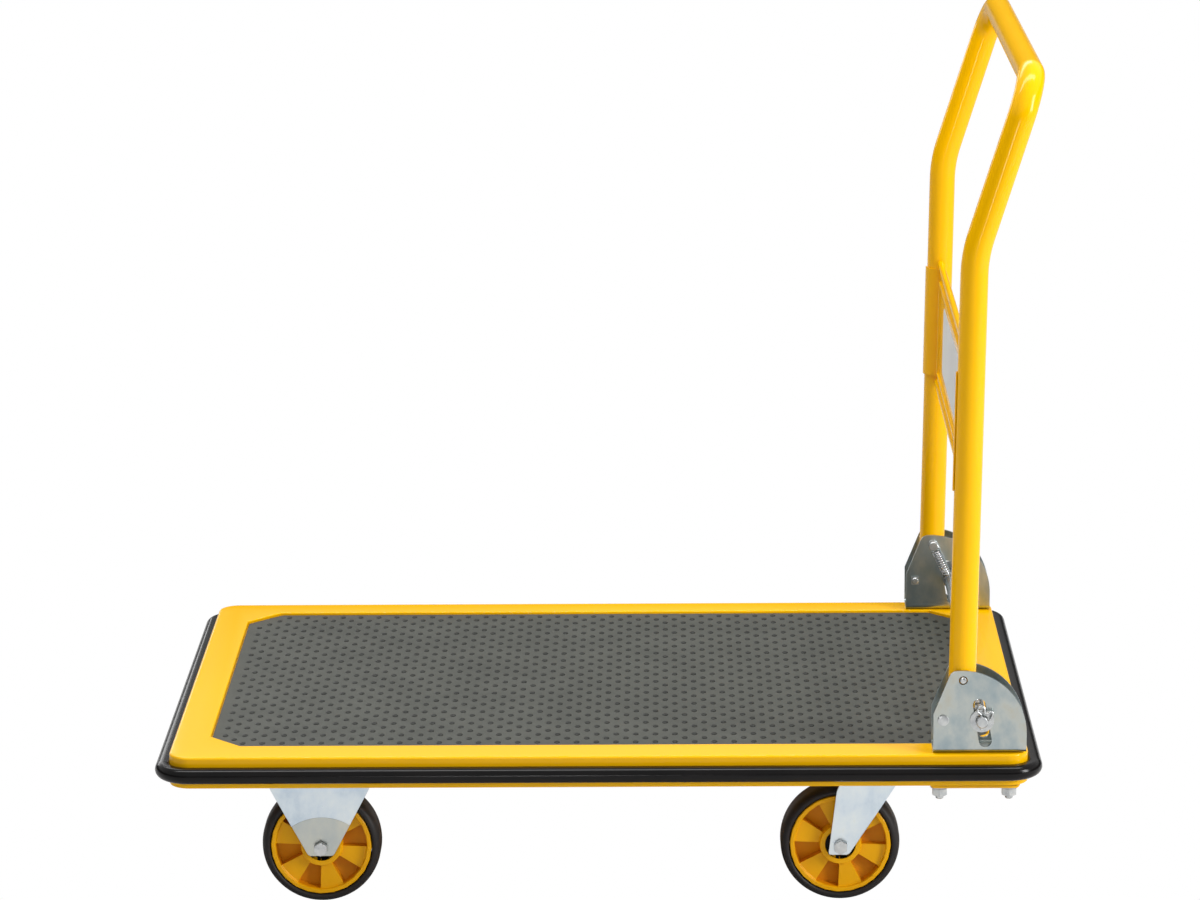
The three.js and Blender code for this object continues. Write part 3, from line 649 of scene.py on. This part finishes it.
def pivot_pin(name, side):
    """Shouldered pin whose outer end sits in the cheek's hole; its inner tail holds the spring."""
    x, z = PIVOT
    inner = -CHEEK_OUT - CLEAR
    outer = CHEEK_OUT
    section = [(0, inner - 10.7), (4.4, inner - 10.7), (4.9, inner - 10.2), (4.9, inner - 9.2)]
    section += [(3.3, inner - 8.8), (3.3, inner - 1.8), (5.4, inner - 1.6), (5.6, inner - 1.2)]
    section += [(5.4, inner - 0.2), (3.4, inner)]
    section += [(3.4, outer + 0.2), (2.9, outer + 0.9), (1.8, outer + 1.2), (0, outer + 1.3)]
    pin = link(f"pivot_pin_{name}_visual", [moved(lathe(section, 40), along_y(x, side * POST_Y, z, side))])
    place(pin, "platform", STEEL, [f"pivot_pin_{name}"])


def stop_rivet(name, side):
    """Rivet with a thin flat head outside and a square nut inside."""
    x, z = STOP
    inner = -CHEEK_OUT
    outer = CHEEK_OUT + CLEAR
    section = [(0, inner - 5.2), (3.0, inner - 5.2), (3.6, inner - 4.7), (4, inner - 4.2), (4, outer)]
    section += [(5.4, outer), (5.8, outer + 0.3), (5.7, outer + 1.1), (5.0, outer + 1.5), (0, outer + 1.6)]
    shapes = [moved(lathe(section, 40), along_y(x, side * POST_Y, z, side))]
    square = rounded([(-4.3, -4.3), (4.3, -4.3), (4.3, 4.3), (-4.3, 4.3)], 0.5, 3)
    nut = prism_xy(square, 0, 4.0)
    shapes.append(moved(nut, along_y(x, side * (POST_Y - CHEEK_OUT - 4.4), z, side)))
    rivet = link(f"stop_pin_{name}_visual", shapes)
    place(rivet, "platform", STEEL, [f"stop_pin_{name}"])


def bracket_fastener(name, x, y):
    lo, hi = box_mm(f"bracket_bolt_{name}")
    top = box_mm(f"bracket_nut_{name}")[1][2]
    seat = hi[2] - BOLT_HEAD
    shank = lathe([(0, lo[2]), (3.2, lo[2]), (4, lo[2] + 0.9), (4, seat + 0.5), (0, seat + 0.5)], 28)
    shapes = [moved(shank, at(x, y, 0)), moved(hex_prism(BOLT_FLATS, BOLT_HEAD), at(x, y, seat))]
    bolt = link(f"bracket_bolt_{name}_visual", shapes)
    place(bolt, "platform", STEEL, [f"bracket_bolt_{name}"])
    section = [(4.3, top - 2.2), (8.6, top - 2.2), (9.8, top - 1.0), (9.9, top - 0.3), (9.7, top), (4.3, top)]
    flange = lathe(section, 40)
    body = hex_prism(14.5, 8.2, bottom=True)
    flipped = moved(body, at(x, y, top - 1.6) @ Matrix.Rotation(math.pi, 4, "X"))
    nut = link(f"bracket_nut_{name}_visual", [moved(flange, at(x, y, 0)), flipped])
    place(nut, "platform", STEEL, [f"bracket_nut_{name}"])


def brackets():
    for name, side in SIDES:
        bracket(name, side)
        pivot_pin(name, side)
        stop_rivet(name, side)
        for x, label in ((350, "inner"), (421, "outer")):
            bracket_fastener(f"{name}_{label}", x, side * POST_Y)


# ---------------------------------------------------------------- lock
def lock_rod():
    section = [(0, -ROD_END), (ROD_RADIUS - 0.8, -ROD_END), (ROD_RADIUS, -ROD_END + 0.8)]
    section += [(ROD_RADIUS, ROD_END - 0.8), (ROD_RADIUS - 0.8, ROD_END), (0, ROD_END)]
    rod = link("lock_rod_visual", [moved(lathe(section, 40), along_y(ROD[0], 0, ROD[1]))])
    place(rod, "lock", STEEL, ["lock_rod"])


def lock_washer(name):
    lo, hi = box_mm(f"lock_washer_{name}")
    section = rounded([(6.3, lo[1]), (12.2, lo[1]), (12.2, hi[1]), (6.3, hi[1])], 0.35, 2)
    washer = link(f"lock_washer_{name}_visual", [moved(lathe(section, 48), along_y(ROD[0], 0, ROD[1]))])
    place(washer, "lock", STEEL, [f"lock_washer_{name}"])


def smooth_path(points, steps=8):
    """Catmull-Rom curve through the points."""
    p = [np.array(q, float) for q in points]
    p = [2 * p[0] - p[1]] + p + [2 * p[-1] - p[-2]]
    out = []
    for i in range(1, len(p) - 2):
        for t in np.linspace(0, 1, steps, endpoint=False):
            a, b, c, d = p[i - 1], p[i], p[i + 1], p[i + 2]
            out.append(tuple(0.5 * (2 * b + (c - a) * t + (2 * a - 5 * b + 4 * c - d) * t**2
                                    + (3 * b - a - 3 * c + d) * t**3)))
    out.append(tuple(p[-2]))
    return out


def split_pin(name, side):
    """Wire folded into an eye above the rod; one leg goes through the rod, the other is bent out."""
    lo, hi = box_mm(f"split_pin_{name}")
    x, y, z = ROD[0], (lo[1] + hi[1]) / 2, ROD[1]
    out = side * 1.2
    through = [(x - 0.8, y, z - 9.0), (x - 0.8, y, z - 4), (x - 0.9, y, z + 4), (x - 1.2, y, z + 7.2)]
    eye = []
    for a in np.linspace(-0.5, -TURN + 0.7, 12):
        eye.append((x - 1.2 + 3.8 * math.sin(a), y + out * 0.4, z + 12.2 - 3.8 * math.cos(a)))
    bend = ((3.6, 8.6), (8.2, 10.6), (10.6, 9.2), (9.2, 4.6), (7.6, 1.6))
    leg = [(x + dx, y + out, z + dz) for dx, dz in bend]
    path = smooth_path(through + eye + leg, 5)
    pin = link(f"split_pin_{name}_visual", [wire(path, 1.15, 12)])
    place(pin, "lock", STEEL, [f"split_pin_{name}"], 60)


def lock_spring(name, side):
    """Extension spring with a hook on the pivot pin's tail and a longer one round the rod."""
    start = np.array((PIVOT[0], side * (POST_Y - CHEEK_OUT - 6.2), PIVOT[1]))
    end = np.array((ROD[0], start[1], ROD[1]))
    reach = np.linalg.norm(end - start)
    down = (end - start) / reach
    over = np.cross(down, (0, 1, 0))
    across = np.array((0.0, 1.0, 0.0))
    radius, gauge, turns, steps = 5.0, 0.72, 11, 20
    first, last = 6.0, reach - ROD_RADIUS - 4.5

    def ring(centre, r, degrees):
        return [centre + over * r * math.cos(a) - down * r * math.sin(a) for a in np.radians(degrees)]

    top = ring(start, 3.3 + gauge, np.linspace(250, 10, 9))
    coil = []
    for k in range(turns * steps + 1):
        a = TURN * k / steps
        middle = start + down * (first + (last - first) * k / (turns * steps))
        coil.append(middle + over * radius * math.cos(a) + across * radius * math.sin(a))
    low = ring(end, ROD_RADIUS + gauge, np.linspace(50, 300, 12))
    path = smooth_path([tuple(p) for p in top + [coil[0]]], 3)[:-1]
    path += [tuple(p) for p in coil[:-1]]
    path += smooth_path([tuple(p) for p in [coil[-1]] + low], 3)
    spring = link(f"lock_spring_{name}_visual", [wire(path, gauge, 8)])
    shade(spring, 60)
    spring.data.materials.append(SPRING)
    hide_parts(f"lock_spring_{name}")
    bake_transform(spring)


# ---------------------------------------------------------------- handle
def post_x(z):
    return PIVOT[0] + POST_LEAN * (z - PIVOT[1])


def filleted(corners, radii, steps):
    points = [Vector(corners[0])]
    for i in range(1, len(corners) - 1):
        corner = Vector(corners[i])
        back = (Vector(corners[i - 1]) - corner).normalized()
        on = (Vector(corners[i + 1]) - corner).normalized()
        half = back.angle(on) / 2
        centre = corner + (back + on).normalized() * (radii[i - 1] / math.sin(half))
        reach = radii[i - 1] / math.tan(half)
        first, last = corner + back * reach - centre, corner + on * reach - centre
        axis = first.cross(last).normalized()
        sweep_angle = first.angle(last)
        for k in range(steps + 1):
            points.append(centre + Matrix.Rotation(sweep_angle * k / steps, 3, axis) @ first)
    points.append(Vector(corners[-1]))
    return points


def handle_tube():
    ends = [(post_x(POST_BOTTOM), side * POST_Y, POST_BOTTOM) for _, side in SIDES]
    bends = [(post_x(BEND_Z), side * POST_Y, BEND_Z) for _, side in SIDES]
    grips = [(GRIP[0], side * POST_Y, GRIP[1]) for _, side in SIDES]
    corners = [ends[0], bends[0], grips[0], grips[1], bends[1], ends[1]]
    path = filleted(corners, [BEND_RADIUS, GRIP_RADIUS, GRIP_RADIUS, BEND_RADIUS], 18)
    outer = sweep(path, TUBE_RADIUS, 48)
    inner = sweep(path, TUBE_RADIUS - TUBE_WALL, 48)
    tube = link("handle_tube_visual", [skin(outer + inner[::-1], "loop")])
    hole = circle(*PIVOT, PIN_HOLE)
    pin_holes = [prism_xz(hole, side * POST_Y - 20, side * POST_Y + 20) for _, side in SIDES]
    combine(tube, pin_holes)
    place(tube, "handle", PAINT, ["handle_tube"], 45)


def handle_panel():
    top, bottom, sheet, hem = 568, 433, 1.5, 3.6
    middle, half = (top + bottom) / 2, (top - bottom) / 2
    inside = POST_Y - TUBE_RADIUS - CLEAR - sheet
    shapes = [block(-sheet / 2, sheet / 2, -inside - 1, inside + 1, -half, half)]
    for z in (-half, half):
        roll = [(hem, -inside + 0.6), (hem, inside - 0.6)]
        section = [(1.6, -inside), (hem - 0.5, -inside), *roll, (hem - 0.5, inside), (1.6, inside)]
        shapes.append(moved(lathe(section, 28), along_y(0, 0, z)))
    bead_y, bead_z = 225, 51.5
    for z in (-bead_z, bead_z):
        bead = rounded([(0, z - 2.6), (0, z + 2.6), (-3.4, z + 1.2), (-3.4, z - 1.2)], 1.0, 4)
        shapes.append(prism_xz(bead, -bead_y - 1, bead_y + 1))
    for y in (-bead_y, bead_y):
        bead = rounded([(0, y - 2.6), (0, y + 2.6), (-3.4, y + 1.2), (-3.4, y - 1.2)], 1.0, 4)
        shapes.append(prism_xy(bead, -bead_z - 1, bead_z + 1))
    for _, side in SIDES:
        start, stop = math.pi + side * math.pi / 2, math.pi - side * 0.15
        out = arc(0, 0, TUBE_RADIUS + CLEAR + sheet, start, stop, 24)
        back = arc(0, 0, TUBE_RADIUS + CLEAR, stop, start, 24)
        section = [(x, side * POST_Y + y) for x, y in out + back]
        shapes.append(prism_xy(section, 440 - middle, 562 - middle))
    lean = at(post_x(middle), 0, middle) @ Matrix.Rotation(math.atan(POST_LEAN), 4, "Y")
    panel = link("handle_panel_visual", [moved(s, lean) for s in shapes])
    bevel(panel, 0.3, 2, 50)
    place(panel, "handle", PAINT, ["handle_panel"])
    plate = rounded([(-168, -37), (168, -37), (168, 37), (-168, 37)], 12, 5)
    label = prism_yz(plate, -sheet / 2 - 0.35, -sheet / 2 + 0.1)
    place(link("panel_label", [moved(label, lean)]), "handle", LABEL)


# ---------------------------------------------------------------- wheels
def tyre(name, x, y, z, body):
    low = -HALF_WHEEL
    section = [(HUB_RADIUS + CLEAR, low + 2.6), (53.2, low + 1.2), (54.2, low + 0.1), (55.5, low)]
    section += [(57.0, low + 0.5), (58.8, low + 2.0), (60.2, low + 4.2), (61.1, low + 7.2)]
    section += [(WHEEL_RADIUS, low + 11)]
    section += [(r, -h) for r, h in reversed(section)]
    shape = lathe(section, 112)
    piece = link(f"tyre_{name}_visual", [moved(shape, along_y(x, y, z))])
    place(piece, body, TYRE, [f"tyre_{name}"], 60)


POCKETS = 6
HUB_PHASE = math.radians(-27.7)


def hub_face():
    """Rings of points over one face of the hub, from its bore out to its rim."""
    lip = HALF_WHEEL - 0.6
    stations = [(8.6, 10.0), (15.4, 10.0), (15.7, 10.4), (15.7, HALF_WHEEL + 0.6), (16.2, HALF_WHEEL + 1.0)]
    stations += [(20.4, HALF_WHEEL + 1.0), (21.0, HALF_WHEEL + 0.5)]
    tail = [(47.6, lip - 0.4), (48.0, lip), (51.2, lip), (51.8, lip - 0.5), (HUB_RADIUS, lip - 1.2)]
    period = TURN / POCKETS
    cuts = [0, 0.012, 0.03, 0.25, 0.46, 0.482, 0.5, 0.52, 0.75, 0.98]
    angles = [(k + c) * period for k in range(POCKETS) for c in cuts]

    def height(a):
        t = (a / period) % 1.0
        if t < 0.012 or t >= 0.499:
            return 14.6
        if t < 0.03:
            return 5.0
        if t > 0.46:
            return 8.0
        return 5.0 + (8.0 - 5.0) * (t - 0.03) / 0.43

    def level(r):
        return [(r * math.cos(a), r * math.sin(a), height(a)) for a in angles]

    def plain(r, h):
        return [(r * math.cos(a), r * math.sin(a), h) for a in angles]

    rings = [plain(r, h) for r, h in stations]
    rings += [plain(21.5, 15.4), level(22.3), level(34), level(46.4), plain(47.2, 15.4)]
    rings += [plain(r, h) for r, h in tail]
    return rings


def hub(name, x, y, z, body, phase):
    front = hub_face()
    back = [[(px, py, -pz) for px, py, pz in ring] for ring in front]
    shape = skin(front + back[::-1], "loop")
    turned = along_y(x, y, z) @ Matrix.Rotation(phase, 4, "Z")
    piece = link(f"hub_{name}_visual", [moved(shape, turned)])
    bevel(piece, 0.35, 2, 38)
    place(piece, body, [NYLON, NYLON_POCKET_SHADE, SEAL_AND_BORE_SHADE], [f"hub_{name}"], 30)
    for polygon in piece.data.polygons:
        px, py, pz = np.array(polygon.center) / MM - (x, y, z)
        radius = math.hypot(px, pz)
        # Faces down in the pockets take the darker amber: painted shade.
        pocket_shade = abs(py) < 14.0 and 22 < radius < 47
        # Faces inside radius 15.6 take near black: a bearing seal whose darkness also paints the shade in the
        # bore.
        polygon.material_index = 2 if radius < 15.6 else 1 if pocket_shade else 0


def axle_set(name, side, x, y, z, body):
    head = CHEEK_IN + FORK_SHEET + CLEAR
    tail = CHEEK_IN + FORK_SHEET + 10
    section = [(0, -tail), (2.6, -tail), (3.6, -tail + 0.5), (4, -tail + 1.2)]
    section += [(4, head + 0.5), (0, head + 0.5)]
    mount = along_y(x, y, z, side)
    hexagon = moved(hex_prism(BOLT_FLATS, BOLT_HEAD), mount @ at(0, 0, head))
    bolt = link(f"axle_bolt_{name}_visual", [moved(lathe(section, 28), mount), hexagon])
    place(bolt, body, STEEL, [f"axle_bolt_{name}"])
    turned = mount @ at(0, 0, -head) @ Matrix.Rotation(math.pi, 4, "X")
    nut = link(f"axle_nut_{name}_visual", [moved(hex_prism(BOLT_FLATS, 7, bottom=True), turned)])
    place(nut, body, STEEL, [f"axle_nut_{name}"])
    length = CHEEK_IN - CLEAR
    wall = rounded([(4.3, -length), (8, -length), (8, length), (4.3, length)], 0.4, 2)
    bush = link(f"bush_{name}_visual", [moved(lathe(wall, 36), mount)])
    place(bush, body, SEAL_AND_BORE_SHADE, [f"bush_{name}"])


def plate_outline(x0, x1, half_y, corner):
    return rounded([(x0, -half_y), (x1, -half_y), (x1, half_y), (x0, half_y)], corner, 6)


def cheek_pair(outline):
    """Both cheeks of a fork about the axle."""
    return [prism_xz(outline, s * CHEEK_IN, s * (CHEEK_IN + FORK_SHEET)) for s in (-1, 1)]


JOGGLE = 0.8  # the zone round the axle is pressed in by this


def rigid_fork(name, x, y, z):
    plate_top = box_mm(f"fork_front_{name}")[1][2]
    top = plate_top - z
    half = [(12.9, -9), (50.5, 62.5), (52.6, 68), (54, 76), (54, top - 1)]
    outline = rounded(half + [(-px, pz) for px, pz in reversed(half)], 3.2, 4)
    shapes = cheek_pair(outline)
    shapes = [moved(s, at(x, y, z)) for s in shapes]
    fork = link(f"fork_front_{name}_visual", shapes)
    zone = arc(1.5, -20, 53, math.radians(52), math.radians(130), 24) + [(-45, -14), (45, -14)]
    outer = CHEEK_IN + FORK_SHEET
    well = outer - JOGGLE
    wells = [prism_xz(zone, s * well, s * (outer + 3)) for s in (-1, 1)]
    combine(fork, [moved(w, at(x, y, z)) for w in wells])
    bevel(fork, 0.5, 3, 35)
    flat = plate_outline(x - 58, x + 58, PLATE_HALF_Y, PLATE_CORNER)
    plate = prism_xy(flat, plate_top - FORK_SHEET, plate_top)
    base = link("plate", [moved(plate, at(0, y, 0))])
    bevel(base, 0.4, 2, 50)
    absorb(fork, base)
    place(fork, "platform", [FORK_ZINC, WORN_ZINC], [f"fork_front_{name}"])
    for polygon in fork.data.polygons:
        depth = abs(polygon.center.y / MM - y)
        polygon.material_index = 1 if abs(depth - well) < 0.05 else 0


def absorb(obj, other):
    """Adds the other object's mesh to obj."""
    bm = bmesh.new()
    bm.from_mesh(obj.data)
    bm.from_mesh(other.data)
    bm.to_mesh(obj.data)
    bm.free()
    bpy.data.objects.remove(other)


TRAIL = 31


def fork_creases():
    """Shallow pressed zone along the slanted edge of each swivel fork cheek."""
    zone = [(20.6, 10), (70, 84), (20.6, 84)]
    outer = CHEEK_IN + FORK_SHEET
    return [prism_xz(zone, s * (outer - 0.5), s * (outer + 3)) for s in (-1, 1)]


def swivel_fork(name, x, y, z):
    crown = box_mm(f"fork_rear_{name}")[1][2] - z
    outline = [(-12.6, -9.5), (8.6, -9.5), (54.6, 62)]
    outline += [(TRAIL + 29, crown - 1), (TRAIL - 29, crown - 1), (-4, 60)]
    outline = rounded(outline, 3.2, 4)
    fork = link(f"fork_rear_{name}_visual", [moved(s, at(x, y, z)) for s in cheek_pair(outline)])
    bevel(fork, 0.5, 3, 35)
    combine(fork, [moved(c, at(x, y, z)) for c in fork_creases()])
    ring = rounded([(5.4, crown - FORK_SHEET), (31, crown - FORK_SHEET), (31, crown), (5.4, crown)], 0.6, 3)
    disc = link("crown", [moved(lathe(ring, 56), at(x + TRAIL, y, z))])
    absorb(fork, disc)
    place(fork, f"swivel_{name}", FORK_ZINC, [f"fork_rear_{name}"])


def swivel_head(name, x, y):
    """Race, top plate and kingpin about the swivel axis."""
    lo, hi = box_mm(f"race_rear_{name}")
    low, high = lo[2], hi[2]
    section = [(5.4, low), (25, low), (27.6, low + 0.8), (29.6, low + 2.6), (30.8, low + 5), (31, low + 7)]
    section += [(30.4, low + 8.6), (28.2, low + 10.4), (27.2, high), (5.4, high)]
    race = link(f"race_rear_{name}_visual", [moved(lathe(section, 56), at(x, y, 0))])
    place(race, "platform", FORK_ZINC, [f"race_rear_{name}"], 40)
    plate_lo, plate_hi = box_mm(f"top_plate_rear_{name}")
    outline = [(px, py + y) for px, py in plate_outline(x - 52, x + 52, PLATE_HALF_Y, PLATE_CORNER)]
    plate = link(f"top_plate_rear_{name}_visual", [prism_xy(outline, plate_lo[2], plate_hi[2])])
    combine(plate, [prism_xy(circle(x, y, 5.4), plate_lo[2] - 3, plate_hi[2] + 3)])
    bevel(plate, 0.4, 2, 50)
    place(plate, "platform", FORK_ZINC, [f"top_plate_rear_{name}"])
    king_lo, king_hi = box_mm(f"kingpin_rear_{name}")
    pin = lathe([(0, king_lo[2] + 1), (5, king_lo[2] + 1), (5, king_hi[2]), (0, king_hi[2])], 32)
    head = hex_prism(16, 6)
    flipped = at(x, y, king_lo[2] + 6) @ Matrix.Rotation(math.pi, 4, "X")
    king = link(f"kingpin_rear_{name}_visual", [moved(pin, at(x, y, 0)), moved(head, flipped)])
    place(king, "platform", STEEL, [f"kingpin_rear_{name}"])


def mounting_bolts(name, x, y, half_x):
    """Four bolts that hold a castor's plate to its cross member."""
    shapes = []
    for dx in (-half_x, half_x):
        for dy in (-31, 31):
            spot = at(x + dx, y + dy, PLATE_BOTTOM)
            washer = lathe(rounded([(4.2, -1.6), (8.4, -1.6), (8.4, 0), (4.2, 0)], 0.3, 2), 32)
            shank = lathe([(0, -9.6), (3.3, -9.6), (4, -8.9), (4, 7.5), (0, 7.5)], 24)
            head = moved(hex_prism(BOLT_FLATS, 6.2), at(0, 0, -1.6) @ Matrix.Rotation(math.pi, 4, "X"))
            shapes += [moved(s, spot) for s in (washer, shank, head)]
    place(link(f"mounting_bolts_{name}", shapes), "platform", STEEL)


def castors():
    for name, side in SIDES:
        y = side * CASTOR_Y
        lo, hi = box_mm(f"tyre_front_{name}")
        x, z = (lo[0] + hi[0]) / 2, (lo[2] + hi[2]) / 2
        rigid_fork(name, x, y, z)
        tyre(f"front_{name}", x, y, z, f"wheel_front_{name}")
        hub(f"front_{name}", x, y, z, f"wheel_front_{name}", HUB_PHASE)
        axle_set(f"front_{name}", side, x, y, z, "platform")
        mounting_bolts(f"front_{name}", x, y, 46)
        lo, hi = box_mm(f"tyre_rear_{name}")
        x, z = (lo[0] + hi[0]) / 2, (lo[2] + hi[2]) / 2
        swivel_fork(name, x, y, z)
        swivel_head(name, x + TRAIL, y)
        tyre(f"rear_{name}", x, y, z, f"wheel_rear_{name}")
        hub(f"rear_{name}", x, y, z, f"wheel_rear_{name}", HUB_PHASE)
        axle_set(f"rear_{name}", side, x, y, z, f"swivel_{name}")
        mounting_bolts(f"rear_{name}", x + TRAIL, y, 42)


deck_pan()
bumper()
mat()
cross_members()
brackets()
lock_rod()
for side_name, side_sign in SIDES:
    lock_washer(side_name)
    split_pin(side_name, side_sign)
    lock_spring(side_name, side_sign)
handle_tube()
handle_panel()
castors()


# ---------------------------------------------------------------- camera, floor and light
CAMERA_LENS = 136.0317
CAMERA_PLACE = (0.076623, -4.7092, 1.564178)
CAMERA_ANGLES = (-0.925, 13.672, -0.513)  # yaw, pitch down and roll, in degrees


def camera():
    data = bpy.data.cameras.new("camera")
    data.sensor_width = 36
    data.lens = CAMERA_LENS
    data.clip_start, data.clip_end = 0.1, 100
    obj = bpy.data.objects.new("camera", data)
    bpy.context.scene.collection.objects.link(obj)
    yaw, pitch, roll = (math.radians(a) for a in CAMERA_ANGLES)
    ahead = Vector((math.sin(yaw) * math.cos(pitch), math.cos(yaw) * math.cos(pitch), -math.sin(pitch)))
    right = Vector((math.cos(yaw), -math.sin(yaw), 0))
    up = right.cross(ahead)
    right, up = right * math.cos(roll) + up * math.sin(roll), up * math.cos(roll) - right * math.sin(roll)
    basis = Matrix((right, up, -ahead)).transposed().to_4x4()
    obj.matrix_world = at(*CAMERA_PLACE) @ basis
    bpy.context.scene.camera = obj


def seen_by_camera(tree, shader, white):
    """The backdrop looks plain white, and still takes and gives back the lamps' light."""
    rays = tree.nodes.new("ShaderNodeLightPath").outputs["Is Camera Ray"]
    mix = tree.nodes.new("ShaderNodeMixShader")
    tree.links.new(rays, mix.inputs[0])
    tree.links.new(shader, mix.inputs[1])
    tree.links.new(white, mix.inputs[2])
    output = next(n for n in tree.nodes if n.type in ("OUTPUT_MATERIAL", "OUTPUT_WORLD"))
    tree.links.new(mix.outputs[0], output.inputs["Surface"])


def floor():
    points = [(-30, -30, 0), (30, -30, 0), (30, 30, 0), (-30, 30, 0)]
    mesh = bpy.data.meshes.new("floor")
    mesh.from_pydata(points, [], [(0, 1, 2, 3)])
    obj = bpy.data.objects.new("floor", mesh)
    bpy.context.scene.collection.objects.link(obj)
    m = Nodes("floor", Roughness=0.9)
    m.shader.inputs["Specular IOR Level"].default_value = 0.0
    m.colour(m.ramp(m.noise(0.6, 2), [(0.3, (0.60, 0.60, 0.60)), (0.7, (0.63, 0.63, 0.63))]))
    white = m.node("ShaderNodeEmission", Strength=1.0)
    seen_by_camera(m.tree, m.shader.outputs["BSDF"], white.outputs["Emission"])
    mesh.materials.append(m.material)


def area_light(name, place_at, target, size, power):
    data = bpy.data.lights.new(name, "AREA")
    data.shape = "RECTANGLE"
    data.size, data.size_y = size
    data.energy = power
    obj = bpy.data.objects.new(name, data)
    bpy.context.scene.collection.objects.link(obj)
    obj.location = place_at
    obj.rotation_mode = "QUATERNION"
    obj.rotation_quaternion = (Vector(target) - Vector(place_at)).to_track_quat("-Z", "Y")


def lights():
    """Studio: a world bright above and dim towards the horizon, and five rectangular lamps."""
    world = bpy.data.worlds.new("studio")
    bpy.context.scene.world = world
    world.use_nodes = True
    tree = world.node_tree
    background = tree.nodes["Background"]
    direction = tree.nodes.new("ShaderNodeTexCoord").outputs["Generated"]
    split = tree.nodes.new("ShaderNodeSeparateXYZ")
    tree.links.new(direction, split.inputs["Vector"])
    sky = tree.nodes.new("ShaderNodeValToRGB")
    stops = ((0.0, 0.04), (0.22, 0.05), (0.33, 0.62), (0.60, 0.60), (1.0, 0.55))
    for _ in stops[2:]:
        sky.color_ramp.elements.new(0.5)
    for element, (position, value) in zip(sky.color_ramp.elements, stops):
        element.position = position
        element.color = (value, value, value, 1)
    tree.links.new(split.outputs["Z"], sky.inputs["Fac"])
    tree.links.new(sky.outputs["Color"], background.inputs["Color"])
    background.inputs["Strength"].default_value = 1.0
    white = tree.nodes.new("ShaderNodeBackground")
    white.inputs["Color"].default_value = (1, 1, 1, 1)
    seen_by_camera(tree, background.outputs["Background"], white.outputs["Background"])
    area_light("overhead", (0.0, -0.1, 2.8), (0, 0, 0.2), (3.4, 0.5), 55)
    area_light("back", (-0.6, 3.0, 2.9), (0, 0, 0.2), (3.0, 0.9), 32)
    area_light("back_left", (-1.9, 3.6, 1.15), (-0.3, 0, 0.3), (1.8, 0.8), 12)
    area_light("right_front", (3.0, -1.6, 1.4), (0.3, 0, 0.4), (0.9, 1.6), 88)
    area_light("low_front", (-0.2, -4.0, 0.45), (0.4, -0.2, 0.7), (0.2, 0.34), 6)


camera()
floor()
lights()
bpy.context.scene.view_settings.view_transform = "Standard"
